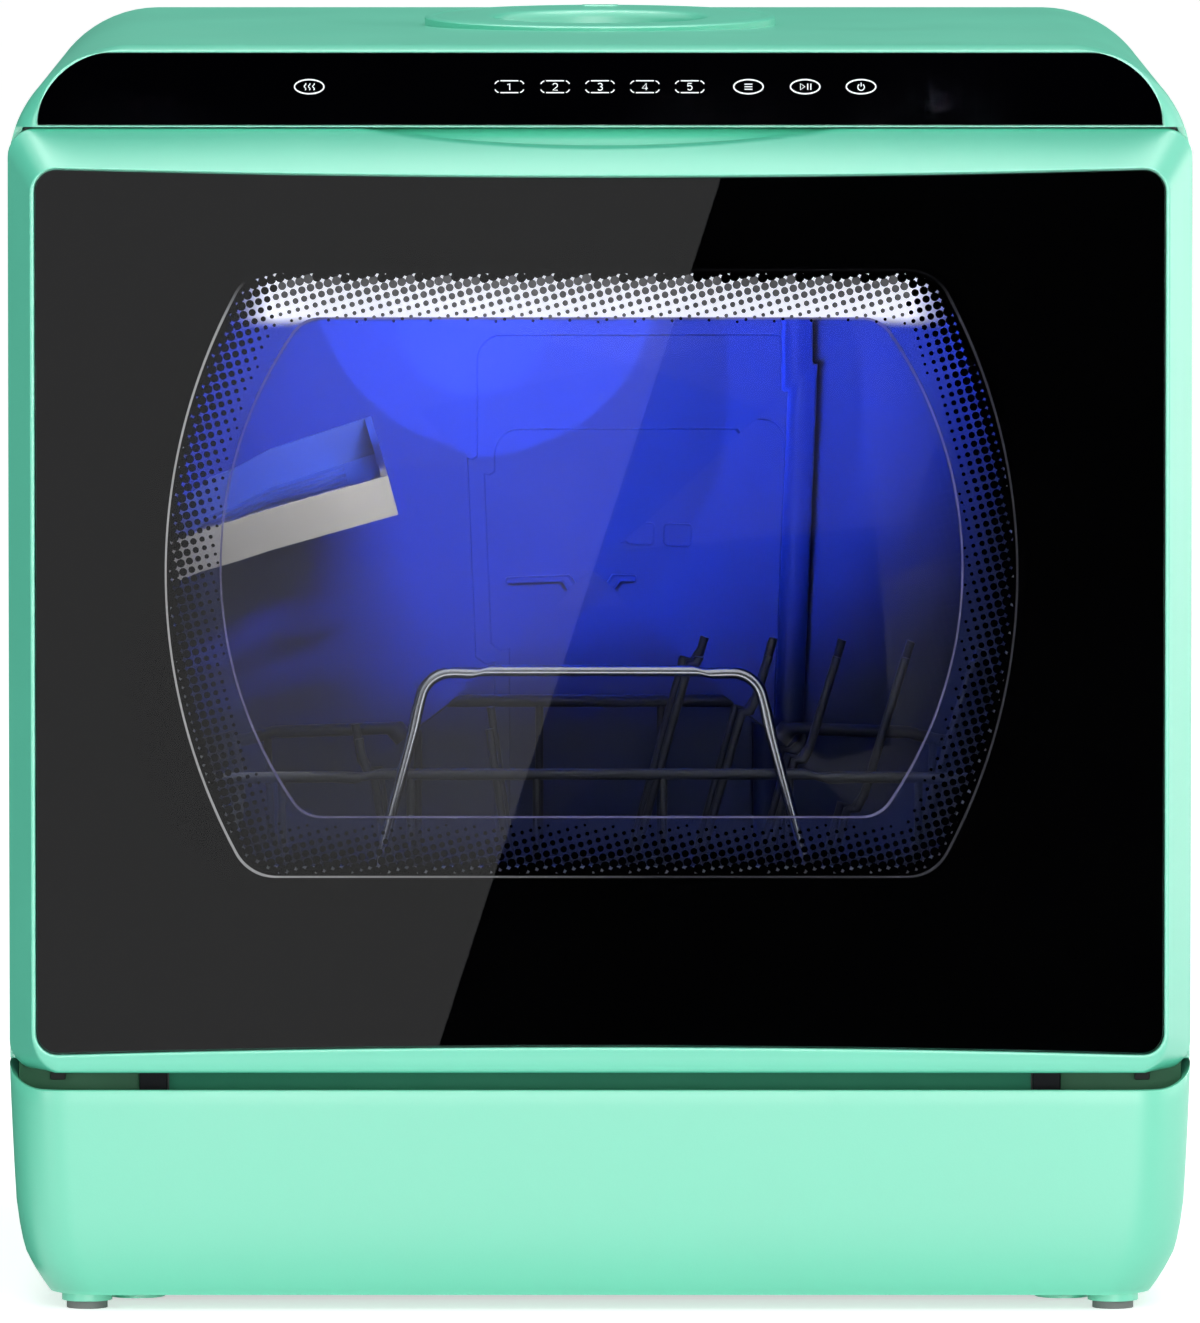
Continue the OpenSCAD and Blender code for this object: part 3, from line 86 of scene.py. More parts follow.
surround = bpy.data.worlds.new("surround")
surround.use_nodes = True
nodes, links = surround.node_tree.nodes, surround.node_tree.links
path = nodes.new("ShaderNodeLightPath")
seen = math_node(nodes, links, "ADD", path.outputs["Is Camera Ray"], path.outputs["Is Glossy Ray"])
seen = math_node(nodes, links, "ADD", seen, path.outputs["Is Transmission Ray"])
seen = math_node(nodes, links, "MINIMUM", seen, 1.0)
first = math_node(nodes, links, "LESS_THAN", path.outputs["Diffuse Depth"], 0.5)
seen = math_node(nodes, links, "MULTIPLY", seen, first)
surround_level = 0.5
strength = math_node(nodes, links, "MULTIPLY_ADD", seen, 1 - surround_level, surround_level)
nodes["Background"].inputs["Color"].default_value = (1, 1, 1, 1)
links.new(strength, nodes["Background"].inputs["Strength"])
scene.world = surround
scene.view_settings.view_transform = "Standard"

floor_mesh = bpy.data.meshes.new("floor")
floor_mesh.from_pydata([(-70, -70, 0), (70, -70, 0), (70, 90, 0), (-70, 90, 0)], [], [(0, 1, 2, 3)])
floor = bpy.data.objects.new("floor", floor_mesh)
scene.collection.objects.link(floor)
floor_paint, nodes, links = new_material("floor_paint")
floor_glow = 0.58
shader = nodes["Principled BSDF"]
set_inputs(shader, {"Base Color": (0.82, 0.82, 0.82, 1), "Roughness": 0.9, "Specular IOR Level": 0.1,
                    "Emission Color": (1, 1, 1, 1)})
path = nodes.new("ShaderNodeLightPath")
seen = math_node(nodes, links, "MAXIMUM", path.outputs["Is Camera Ray"], path.outputs["Is Glossy Ray"])
seen = math_node(nodes, links, "MULTIPLY", seen, floor_glow)
links.new(seen, shader.inputs["Emission Strength"])
floor_mesh.materials.append(floor_paint)

def add_light(name, kind, watts, place, aim):
    """A light that the camera doesn't see, turned towards its aim."""
    light = bpy.data.lights.new(name, kind)
    light.energy = watts
    lamp = bpy.data.objects.new(name, light)
    lamp.location = place
    lamp.rotation_euler = (Vector(aim) - Vector(place)).to_track_quat("-Z", "Y").to_euler()
    lamp.visible_camera = False
    scene.collection.objects.link(lamp)
    return light

for name, width, height, place, aim_z, watts in (
        ("front_box", 1.8, 1.1, (0.6, -4.5, 0.92), 0.22, 16),
        ("low_box", 1.6, 0.3, (0.25, -2.4, 0.2), 0.15, 13),
        ("high_box", 1.6, 1.0, (0.35, -2.2, 1.75), 0.3, 12),
        ("top_box", 2.2, 1.2, (0.05, 0.2, 2.3), 0.3, 21),
        ("left_box", 0.3, 0.9, (-1.9, -2.1, 0.45), 0.2, 10),
        ("right_box", 1.2, 1.0, (1.7, 1.2, 0.42), 0.2, 5.5),
        ("side_box", 1.6, 1.0, (2.0, -0.35, 0.42), 0.2, 8)):
    light = add_light(name, "AREA", watts, place, (0, 0, aim_z))
    light.shape, light.size, light.size_y = "RECTANGLE", width, height
    light.cycles.use_multiple_importance_sampling = False

def card(name, corners, level):
    """A flat card, its corners in mm, that only mirrored and transmitted rays meet."""
    mesh = bpy.data.meshes.new(name)
    mesh.from_pydata([(x * 0.001, y * 0.001, z * 0.001) for x, y, z in corners], [],
                     [tuple(range(len(corners)))])
    sheet = bpy.data.objects.new(name, mesh)
    scene.collection.objects.link(sheet)
    paint, nodes, links = new_material(name)
    shader = nodes["Principled BSDF"]
    set_inputs(shader, {"Base Color": (0, 0, 0, 1), "Specular IOR Level": 0,
                        "Emission Color": (level, level, level, 1), "Emission Strength": 1})
    mesh.materials.append(paint)
    sheet.visible_camera = sheet.visible_diffuse = sheet.visible_shadow = False
    sheet.visible_volume_scatter = False

card_y, card_low, card_high, card_top, card_half = -765, -60, 388.5, 480, 320
slant_low, slant_high = -95.8, 49.8
for name, level, outline in (
        ("grey_card", 0.35, ((-card_half, card_low), (slant_low, card_low),
                             (slant_high, card_high), (-card_half, card_high))),
        ("black_flag", 0.0, ((slant_low, card_low), (card_half, card_low),
                             (card_half, card_high), (slant_high, card_high))),
        ("black_strip", 0.0, ((-card_half, card_high), (card_half, card_high),
                              (card_half, card_top), (-card_half, card_top)))):
    card(name, [(x, card_y, z) for x, z in outline], level)
card("back_flag", [(-1600, 1300, 0), (900, 1300, 0), (900, 1300, 1900), (-1600, 1300, 1900)], 0.04)
card("left_flag", [(-560, -900, 0), (-560, 1000, 0), (-560, 1000, 800), (-560, -900, 800)], 0.03)
card("floor_flag", [(-560, -190, 1), (-214, -190, 1), (-214, 600, 1), (-560, 600, 1)], 0.05)

# ---------------------------------------------------------------- base shell
# Injection moulded lower shell in mint ABS, lightly grained: side walls that draw in towards the
# feet, a low front lip, and a trough behind it that the door's lower edge swings through.

def shader_group(name, inputs, outputs):
    """A shader group with named number sockets, and what is needed to fill it."""
    group = bpy.data.node_groups.new(name, "ShaderNodeTree")
    for label, value in inputs:
        socket = group.interface.new_socket(label, in_out="INPUT", socket_type="NodeSocketFloat")
        socket.default_value = value
    for label in outputs:
        group.interface.new_socket(label, in_out="OUTPUT", socket_type="NodeSocketFloat")
    nodes = group.nodes
    return group, nodes, group.links, nodes.new("NodeGroupInput"), nodes.new("NodeGroupOutput")

def noise(nodes, links, scale, detail=2.0):
    """Noise in the piece's own space."""
    node = nodes.new("ShaderNodeTexNoise")
    node.inputs["Detail"].default_value = detail
    feed(links, node.inputs["Scale"], scale)
    links.new(nodes.new("ShaderNodeTexCoord").outputs["Object"], node.inputs["Vector"])
    return node.outputs["Fac"]

def moulding_group():
    """Fine grain and slow unevenness, both by their size in millimetres."""
    group, nodes, links, given, result = shader_group(
        "moulding_texture", (("Grain Size", 0.7), ("Flow Size", 60.0)), ("Height", "Flow"))
    for size, output, detail in (("Grain Size", "Height", 2.0), ("Flow Size", "Flow", 3.0)):
        scale = math_node(nodes, links, "DIVIDE", 1000.0, given.outputs[size])
        links.new(noise(nodes, links, scale, detail), result.inputs[output])
    return group

def wear_group():
    """A patchy mask of the edges that hands and cloths rub."""
    group, nodes, links, given, result = shader_group(
        "edge_wear", (("Softness", 12.0), ("Patchiness", 0.5)), ("Mask",))
    bend = nodes.new("ShaderNodeNewGeometry").outputs["Pointiness"]
    bend = math_node(nodes, links, "SUBTRACT", bend, 0.51)
    bend = math_node(nodes, links, "MULTIPLY", bend, given.outputs["Softness"])
    patch = math_node(nodes, links, "MULTIPLY", noise(nodes, links, 90), given.outputs["Patchiness"])
    patch = math_node(nodes, links, "SUBTRACT", 1.0, patch)
    mask = math_node(nodes, links, "MULTIPLY", bend, patch)
    mask = math_node(nodes, links, "MINIMUM", math_node(nodes, links, "MAXIMUM", mask, 0.0), 1.0)
    links.new(mask, result.inputs["Mask"])
    return group

def dust_group():
    """A mask of the faces that look up, where a little dust lies."""
    group, nodes, links, given, result = shader_group("settled_dust", (("Amount", 0.2),), ("Mask",))
    split = nodes.new("ShaderNodeSeparateXYZ")
    links.new(nodes.new("ShaderNodeNewGeometry").outputs["Normal"], split.inputs[0])
    up = math_node(nodes, links, "MAXIMUM", split.outputs["Z"], 0.0)
    up = math_node(nodes, links, "POWER", up, 3.0)
    mask = math_node(nodes, links, "MULTIPLY", up, noise(nodes, links, 25, 6))
    mask = math_node(nodes, links, "MULTIPLY", mask, given.outputs["Amount"])
    links.new(mask, result.inputs["Mask"])
    return group

groups = {"moulding": moulding_group(), "wear": wear_group(), "dust": dust_group()}

def use_group(nodes, which, **values):
    node = nodes.new("ShaderNodeGroup")
    node.node_tree = groups[which]
    for name, value in values.items():
        node.inputs[name.replace("_", " ")].default_value = value
    return node

def mix_colour(nodes, links, factor, a, b):
    node = nodes.new("ShaderNodeMix")
    node.data_type = "RGBA"
    for socket, value in zip((node.inputs[0], node.inputs[6], node.inputs[7]), (factor, a, b)):
        feed(links, socket, value)
    return node.outputs[2]

def bump(nodes, links, height, strength, relief):
    """A surface relief, its depth in millimetres."""
    node = nodes.new("ShaderNodeBump")
    set_inputs(node, {"Strength": strength, "Distance": relief * 0.001})
    links.new(height, node.inputs["Height"])
    return node.outputs["Normal"]

def moulded_plastic(name, colour, roughness, grain=0.7, relief=0.04, dust=0.2, specular=0.5,
                    rub=10.0, ior=1.5):
    """Moulded plastic: grained, a little uneven in tone and gloss, rubbed along its edges."""
    material, nodes, links = new_material(name)
    shader = nodes["Principled BSDF"]
    texture = use_group(nodes, "moulding", Grain_Size=grain, Flow_Size=55.0)
    wear = use_group(nodes, "wear", Softness=rub, Patchiness=0.5)
    fallen = use_group(nodes, "dust", Amount=dust)
    dark = tuple(c * 0.93 for c in colour[:3]) + (1,)
    rubbed = tuple(min(1, c * 1.12 + 0.02) for c in colour[:3]) + (1,)
    tone = mix_colour(nodes, links, texture.outputs["Flow"], dark, colour)
    tone = mix_colour(nodes, links, wear.outputs["Mask"], tone, rubbed)
    tone = mix_colour(nodes, links, fallen.outputs["Mask"], tone, srgb(205, 205, 200))
    links.new(tone, shader.inputs["Base Color"])
    gloss = math_node(nodes, links, "MULTIPLY_ADD", texture.outputs["Flow"], 0.08, roughness - 0.04)
    gloss = math_node(nodes, links, "MULTIPLY_ADD", wear.outputs["Mask"], -0.06, gloss)
    gloss = math_node(nodes, links, "MULTIPLY_ADD", fallen.outputs["Mask"], 0.35, gloss)
    links.new(gloss, shader.inputs["Roughness"])
    links.new(bump(nodes, links, texture.outputs["Height"], 0.35, relief), shader.inputs["Normal"])
    set_inputs(shader, {"Specular IOR Level": specular, "IOR": ior})
    return material

def loft(rings, closed=False, caps=False):
    """Skins rings of equal length, given as lists of points."""
    n, points, faces = len(rings[0]), [p for ring in rings for p in ring], []
    for i in range(len(rings) if closed else len(rings) - 1):
        a, b = i * n, (i + 1) % len(rings) * n
        for j in range(n):
            k = (j + 1) % n
            faces.append((a + j, a + k, b + k, b + j))
    if caps:
        faces.append(tuple(range(n - 1, -1, -1)))
        faces.append(tuple(range(len(points) - n, len(points))))
    return points, faces

def closed_mesh(name, parts):
    """A mesh in metres from closed parts in millimetres, its faces looking outwards."""
    points, faces = [], []
    for part_points, part_faces in parts:
        faces += [tuple(len(points) + i for i in face) for face in part_faces]
        points += [(x * 0.001, y * 0.001, z * 0.001) for x, y, z in part_points]
    mesh = bpy.data.meshes.new(name)
    mesh.from_pydata(points, [], faces)
    shape = bmesh.new()
    shape.from_mesh(mesh)
    bmesh.ops.recalc_face_normals(shape, faces=shape.faces)
    shape.to_mesh(mesh)
    shape.free()
    return mesh

def make_piece(name, parts, body, material, stands_for=(), crease=32):
    """One mesh object from closed parts, shaded smooth up to a crease."""
    mesh = closed_mesh(name, parts)
    mesh.shade_smooth()
    mesh.set_sharp_from_angle(angle=math.radians(crease))
    mesh.materials.append(material)
    piece = bpy.data.objects.new(name, mesh)
    scene.collection.objects.link(piece)
    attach(piece, body)
    if stands_for:
        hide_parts(*stands_for)
    return piece

def arc(cx, cz, rx, rz, start, end, steps):
    """Points on an arc, its angles in degrees, with both ends."""
    angles = [math.radians(start + (end - start) * i / steps) for i in range(steps + 1)]
    return [(cx + rx * math.cos(a), cz + rz * math.sin(a)) for a in angles]

def rounded(x0, x1, z0, z1, r, r_top=None, corner=10, edge=2):
    """Points round a rectangle with round corners, anticlockwise from the lower right one."""
    r_top = r if r_top is None else r_top
    points = []
    for cx, cz, radius, start, goal in (
            (x1 - r, z0 + r, r, -90, (x1, z1 - r_top)),
            (x1 - r_top, z1 - r_top, r_top, 0, (x0 + r_top, z1)),
            (x0 + r_top, z1 - r_top, r_top, 90, (x0, z0 + r)),
            (x0 + r, z0 + r, r, 180, (x1 - r, z0))):
        points += arc(cx, cz, radius, radius, start, start + 90, corner)
        x, z = points[-1]
        points += [(x + (goal[0] - x) * i / edge, z + (goal[1] - z) * i / edge) for i in range(1, edge)]
    return points

mint = srgb(88, 207, 174)
base_mint = moulded_plastic("base_mint", srgb(87, 206, 171), 0.42, grain=0.8, relief=0.05,
                            specular=1.0, ior=1.7)

# Height above the foot, then how far the wall draws in at the sides and at the front.
base_levels = [(0, 14.2, 5), (3.5, 11.8, 3.6), (8, 9, 2.6), (14, 5.8, 1.7), (21, 3.9, 1.1),
               (34, 2.1, 0.6), (65, 0.6, 0.1), (82.5, 0, 0)]
foot_h, lip_z, side_z = 5.5, 79.0, 88.0
base_half, base_front, base_back, base_r = 210, -213.0, 193, 21.0

def base_inset(z, column):
    """Inset of the base's wall at a height, eased between its levels."""
    z -= foot_h
    for low, high in zip(base_levels, base_levels[1:]):
        if z <= high[0]:
            t = max(0.0, (z - low[0]) / (high[0] - low[0]))
            return low[column] + (high[column] - low[column]) * t
    return 0.0

def base_ring(z_of, gap):
    """The base's outline seen from above; every point has its own height."""
    rear_corner = arc(-205, 188, 5, 5, 90, 165, 5)
    side_y = [187, 150, 100, 50, 0, -50, -100, -140, -165, -175] + [-178 - 0.75 * i for i in range(18)]
    front_corner = arc(base_r - base_half, base_front + base_r, base_r, base_r, 180, 270, 15)
    half = rear_corner + [(-base_half, y) for y in side_y] + front_corner
    front = [(base_r - base_half + 42 * i, base_front) for i in range(1, 9)]
    points = []
    for x, y in half + front + [(-x, y) for x, y in reversed(half)]:
        z = z_of(x, y)
        side, ahead = base_inset(z, 1) + gap, base_inset(z, 2) + gap
        if y < -100:
            drawn_y = y + ahead * min(1.0, (-100 - y) / 113)
        else:
            drawn_y = min(y, base_back - gap)
        points.append((x * (base_half - side) / base_half, drawn_y, z))
    return points

def base_top(x, y):
    """Top edge of the base: low along the front, sweeping up to the sides round each corner."""
    t = min(1.0, max(0.0, (abs(x) - 198) / 12))
    swept = lip_z + (side_z - lip_z) * (1 - math.sqrt(1 - t * t))
    back = min(1.0, max(0.0, (y + 186) / 10))
    return swept + (side_z - swept) * back

def base_rings(wall):
    """Up the outside, over the rounded lip and down the inside of the base's wall."""
    rings = []
    for t in (0, 0.02, 0.045, 0.07, 0.1, 0.14, 0.18, 0.23, 0.3, 0.4, 0.55, 0.7, 0.85, 0.93):
        rings.append(base_ring(lambda x, y: foot_h + (base_top(x, y) - foot_h - 0.7) * t, 0))
    for drop, gap in ((0.7, 0), (0.3, 0.1), (0.08, 0.32), (0, 0.7), (0, 2.1), (0.1, 2.5), (0.5, wall)):
        rings.append(base_ring(lambda x, y: base_top(abs(x) - gap, y) - drop, gap))
    for t in (0.6, 0.3, 0.12, 0.03):
        rings.append(base_ring(lambda x, y: foot_h + (base_top(abs(x) - wall, y) - foot_h) * t, wall))
    return rings

def slab_z(outline, z0, z1, arris=0.0):
    """An upright slab on an outline seen from above, its arrises cut if they are given."""
    if not arris:
        return loft([[(x, y, z) for x, y in outline] for z in (z0, z1)], caps=True)
    cx = sum(x for x, y in outline) / len(outline)
    cy = sum(y for x, y in outline) / len(outline)
    w = max(x for x, y in outline) - cx
    d = max(y for x, y in outline) - cy
    inner = [(cx + (x - cx) * (w - arris) / w, cy + (y - cy) * (d - arris) / d) for x, y in outline]
    rings = [[(x, y, z0) for x, y in inner], [(x, y, z0 + arris) for x, y in outline],
             [(x, y, z1 - arris) for x, y in outline], [(x, y, z1) for x, y in inner]]
    return loft(rings, caps=True)

def slot_plate(x0, x1, z1):
    """A thin upright plate at the back of the slot under the door."""
    return slab_z(rounded(x0, x1, -186.45, -186.05, 0.15, corner=2, edge=1), 73.5, z1)

base_floor = 8.0
shell = base_rings(2.8)
hole = [(max(-176, min(176, x)), max(-171, min(169, y)), base_floor) for x, y, z in shell[-1]]
shell += [[(x, y, base_floor) for x, y, z in shell[-1]], hole, [(x, y, foot_h) for x, y, z in hole]]
trough = slab_z(rounded(-206.5, 206.5, -210, -183.3, 18, 0.5, corner=8), 72, 74)
bosses = [slab_z(arc(x, -183, 10, 10, 0, 360, 40)[:-1], 2.7, 6.5) for x in (-165, 165)]
make_piece("base_shell", [loft(shell, closed=True), trough] + bosses, "cabinet",
           base_mint, ["base_shell"])
# The slot's back plates are drawn deep green and olive, far darker than the mint: painted shade for the
# deep slot under the door.
trough_painted_shade = moulded_plastic("trough_painted_shade", srgb(34, 128, 98), 0.6, dust=0, specular=0.15)
trough_end_painted_shade = moulded_plastic("trough_end_painted_shade", srgb(58, 108, 80), 0.6, dust=0, specular=0.15)
make_piece("trough_back", [slot_plate(-153.4, 153.4, 88)], "cabinet", trough_painted_shade)
make_piece("trough_ends", [slot_plate(-206.9, -160.8, 90), slot_plate(160.8, 206.9, 90)],
           "cabinet", trough_end_painted_shade)

# ---------------------------------------------------------------- underside
# A grey moulded bottom plate closes the base. Green collars moulded with the base hold grey
# rubber pads that are pressed in from below.

def geometry_group(name):
    """A geometry group from mesh to mesh, and what is needed to fill it."""
    group = bpy.data.node_groups.new(name, "GeometryNodeTree")
    for way in ("INPUT", "OUTPUT"):
        group.interface.new_socket("Geometry", in_out=way, socket_type="NodeSocketGeometry")
    nodes = group.nodes
    return group, nodes, group.links, nodes.new("NodeGroupInput"), nodes.new("NodeGroupOutput")

def facet_weld():
    """Joins the CAD model's separate facets, within 4 micrometres."""
    group, nodes, links, given, result = geometry_group("weld_facets")
    plain = nodes.new("GeometryNodeRemoveAttribute")
    plain.inputs["Name"].default_value = "custom_normal"
    weld = nodes.new("GeometryNodeMergeByDistance")
    weld.inputs["Distance"].default_value = 0.000004
    links.new(given.outputs[0], plain.inputs["Geometry"])
    links.new(plain.outputs[0], weld.inputs["Geometry"])
    links.new(weld.outputs[0], result.inputs[0])
    return group

def facet_smooth():
    """Shades faces smooth, and edges over 30 degrees sharp."""
    group, nodes, links, given, result = geometry_group("smooth_up_to_crease")
    round_faces = nodes.new("GeometryNodeSetShadeSmooth")
    round_faces.domain = "FACE"
    sharp = nodes.new("GeometryNodeSetShadeSmooth")
    sharp.domain = "EDGE"
    sharp.inputs["Shade Smooth"].default_value = False
    over = nodes.new("FunctionNodeCompare")
    over.operation = "GREATER_THAN"
    over.inputs[1].default_value = math.radians(30)
    angle = nodes.new("GeometryNodeInputMeshEdgeAngle")
    links.new(angle.outputs["Unsigned Angle"], over.inputs[0])
    links.new(given.outputs[0], round_faces.inputs["Geometry"])
    links.new(round_faces.outputs[0], sharp.inputs["Geometry"])
    links.new(over.outputs[0], sharp.inputs["Selection"])
    links.new(sharp.outputs[0], result.inputs[0])
    return group

weld_facets, smooth_facets = facet_weld(), facet_smooth()

def finish_nodes(material, *names, arris=0.0):
    """Finishes CAD nodes: facets joined, small moulded arrises, flat and round faces shaded evenly."""
    for name in names:
        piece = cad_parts[name]
        piece.data.materials.clear()
        piece.data.materials.append(material)
        piece.modifiers.new("weld", "NODES").node_group = weld_facets
        if arris:
            bevel = piece.modifiers.new("arris", "BEVEL")
            bevel.width, bevel.segments = arris * 0.001, 2
            bevel.limit_method, bevel.angle_limit = "ANGLE", math.radians(40)
            bevel.use_clamp_overlap = True
        piece.modifiers.new("smooth", "NODES").node_group = smooth_facets
        even = piece.modifiers.new("even", "WEIGHTED_NORMAL")
        even.keep_sharp, even.weight = True, 90

foot_rubber = moulded_plastic("foot_rubber", srgb(120, 124, 122), 0.7, grain=0.4, relief=0.08,
                              specular=0.3)
dark_plastic = moulded_plastic("dark_plastic", srgb(34, 38, 37), 0.5, grain=0.6, relief=0.06)
finish_nodes(base_mint, "foot_collars", arris=0.4)
finish_nodes(foot_rubber, "foot_pads", arris=0.5)
finish_nodes(dark_plastic, "bottom_plate", arris=0.3)

# ---------------------------------------------------------------- tub
# One deep moulding with ledges for the rack and a low relief on its back wall, its pale plastic drawn
# dark blue grey: painted shade and painted blue light. Lamps behind a clear lens in its ceiling light it
# blue.
# The tub's plastic is drawn dark and bluish instead of its own pale tone: painted shade and painted blue
# light.
tub_plastic = moulded_plastic("tub_plastic", srgb(62, 74, 112), 0.34, grain=1.2, relief=0.03,
                              dust=0)
finish_nodes(tub_plastic, "tub")
finish_nodes(tub_plastic, "tub_rails", "shelf_brackets", arris=0.5)

def wall_panel(x0, x1, z0, z1, rise, corner=8):
    """A flat pad moulded on the tub's back wall, standing rise proud of it."""
    edge = rounded(x0, x1, z0, z1, corner, corner=6)
    inner = rounded(x0 + 0.5, x1 - 0.5, z0 + 0.5, z1 - 0.5, corner - 0.5, corner=6)
    wall_y = 123
    return loft([[(x, wall_y + 0.3, z) for x, z in edge], [(x, wall_y + 0.4 - rise, z) for x, z in edge],
                 [(x, wall_y - rise, z) for x, z in inner]], caps=True)

pads = [(-39.5, 62, 130, 308.6, 0.9), (-34, 57, 135, 280.3, 1.7), (-28, 7.4, 228.5, 230.5, 3.4, 0.9),
        (3, 13, 240, 247, 2.8, 1.5), (16, 26, 240, 247, 2.8, 1.5)]
make_piece("tub_relief", [wall_panel(*pad) for pad in pads], "cabinet", tub_plastic)

def toned(name, dark, pale, sizes, settings, by="Flow", glow=0.0, gloss=None):
    """A material that wanders between two tones. It may glow in its own tone, and its roughness
    may follow the texture: gloss then says which output, by how much and from which value."""
    material, nodes, links = new_material(name)
    shader = nodes["Principled BSDF"]
    texture = use_group(nodes, "moulding", Grain_Size=sizes[0], Flow_Size=sizes[1])
    tone = mix_colour(nodes, links, texture.outputs[by], dark, pale)
    links.new(tone, shader.inputs["Base Color"])
    if glow:
        links.new(tone, shader.inputs["Emission Color"])
        shader.inputs["Emission Strength"].default_value = glow
    if gloss:
        output, amount, least = gloss
        rough = math_node(nodes, links, "MULTIPLY_ADD", texture.outputs[output], amount, least)
        links.new(rough, shader.inputs["Roughness"])
    set_inputs(shader, settings)
    return material

lens = toned("lens", srgb(20, 60, 255), srgb(50, 100, 255), (1.5, 9.0), {"Roughness": 0.3}, glow=2.0)
finish_nodes(lens, "lamp_lens", arris=0.5)
light = add_light("blue_lamp", "AREA", 3.6, (-0.03, -0.155, 0.397), (-0.035, 0.123, 0.335))
light.shape, light.size, light.size_y = "RECTANGLE", 0.14, 0.024
light.color, light.spread = (0.045, 0.115, 1.0), math.radians(50)
light = add_light("white_lamp", "SPOT", 3.2, (-0.01, -0.17, 0.392), (-0.11, -0.125, 0.27))
light.shadow_soft_size, light.spot_size, light.spot_blend = 0.006, math.radians(42), 0.9
light = add_light("glow_lamp", "SPOT", 1.3, (-0.03, -0.13, 0.39), (-0.045, 0.123, 0.305))
light.shadow_soft_size, light.spot_size, light.spot_blend = 0.02, math.radians(44), 1.0
light.color = (0.3, 0.45, 1.0)

# ---------------------------------------------------------------- sump, pumps and heater
# Under the tub: sump with its perforated steel filter and lift-out cup, heater ring, wash pump,
# drain pump and rubber hoses.

def metal(name, colour, roughness):
    """Drawn or pressed metal with fine streaks and slightly uneven polish."""
    material, nodes, links = new_material(name)
    shader = nodes["Principled BSDF"]
    shader.inputs["Metallic"].default_value = 1
    texture = use_group(nodes, "moulding", Grain_Size=1.2, Flow_Size=18.0)
    dark = (colour[0] * 0.85, colour[1] * 0.85, colour[2] * 0.86, 1)
    links.new(mix_colour(nodes, links, texture.outputs["Flow"], dark, colour), shader.inputs["Base Color"])
    gloss = math_node(nodes, links, "MULTIPLY_ADD", texture.outputs["Flow"], 0.1, roughness - 0.05)
    links.new(gloss, shader.inputs["Roughness"])
    links.new(bump(nodes, links, texture.outputs["Height"], 0.25, 0.03), shader.inputs["Normal"])
    return material

bright_steel = metal("bright_steel", srgb(214, 216, 220), 0.2)
grey_plastic = moulded_plastic("grey_plastic", srgb(110, 114, 118), 0.45, relief=0.05)
white_plastic = moulded_plastic("white_plastic", srgb(222, 222, 218), 0.4, relief=0.04)
black_rubber = moulded_plastic("black_rubber", srgb(22, 23, 24), 0.6, grain=0.4, relief=0.05,
                               specular=0.35)
finish_nodes(bright_steel, "sump_filter", "heater")
finish_nodes(grey_plastic, "sump", "filter_cup", "wash_pump", "drain_pump", "air_duct")
finish_nodes(white_plastic, "pump_impeller", "float", "rack_glides", arris=0.3)
finish_nodes(black_rubber, "wash_hose", "drain_hose", "inlet_hose")

# ---------------------------------------------------------------- spray arms
# Polished pressed steel arms that spin on plastic posts; the upper one is fed by a pipe that
# climbs the back wall. The float stands in its guide at the front right.
finish_nodes(bright_steel, "lower_spray_arm", "upper_spray_arm", arris=0.8)
finish_nodes(tub_plastic, "lower_arm_post", "feed_pipe", "float_guide")

# ---------------------------------------------------------------- front frame and gasket
# Dark frame that closes the space between tub and casing, with the rubber door gasket, the mint
# finger pocket, the latch catch, black steel hinge arms and two rubber stops.
mint_look = {"grain": 0.8, "relief": 0.035, "specular": 1.0, "ior": 1.7, "dust": 0.04}
mint_plastic = moulded_plastic("mint_plastic", mint, 0.38, **mint_look)
arm_black = metal("arm_black", srgb(30, 31, 33), 0.45)
finish_nodes(dark_plastic, "front_frame")
finish_nodes(black_rubber, "door_gasket", "slot_stops", "cord_gland", arris=0.4)
finish_nodes(mint_plastic, "finger_pocket", arris=0.3)
finish_nodes(dark_plastic, "latch_catch", arris=0.3)
finish_nodes(arm_black, "hinge_arms", arris=0.5)
finish_nodes(bright_steel, "hinge_pins", "rear_screws", "latch_hook", arris=0.2)

# ---------------------------------------------------------------- rack and shelf
# Welded wire basket in a dark coating with a polished steel bow for a handle, on white glides.
# The cup shelf is a warm grey moulding, slotted, on two stubs.
rack_coat = moulded_plastic("rack_coat", srgb(56, 60, 68), 0.38, grain=0.5, relief=0.03)
shelf_grey = moulded_plastic("shelf_grey", srgb(150, 146, 142), 0.42, grain=0.9, relief=0.04)
finish_nodes(rack_coat, "rack_floor", "rack_ends", "rack_sides", "rack_tines")
finish_nodes(bright_steel, "rack_handle")
finish_nodes(shelf_grey, "cup_shelf", arris=0.5)

# ---------------------------------------------------------------- bay behind the tub
# Blow moulded water tank, two circuit boards, and the drying fan in its square housing.
tank_plastic = moulded_plastic("tank_plastic", srgb(214, 222, 226), 0.35, grain=1.6, relief=0.06)
circuit = moulded_plastic("circuit", srgb(22, 84, 52), 0.4, grain=0.5, relief=0.04)
finish_nodes(tank_plastic, "water_tank", arris=1.0)
finish_nodes(circuit, "display_board", "control_board", arris=0.2)
finish_nodes(dark_plastic, "fan_housing", "fan_impeller")

# ---------------------------------------------------------------- casing and rear
# Top and sides in one mint moulding, a rear panel with exhaust slots held by eight screws, and
# the inlet valve's nose, the drain barb and a cord gland standing out of it. The rear panel has
# no rubbed edges, since its facets are too long to hold that mask.
rear_mint = moulded_plastic("rear_mint", mint, 0.38, rub=0.0, **mint_look)
finish_nodes(mint_plastic, "casing", arris=0.4)
finish_nodes(rear_mint, "rear_panel", arris=0.4)
finish_nodes(white_plastic, "inlet_valve", arris=0.3)
finish_nodes(grey_plastic, "drain_outlet", arris=0.3)

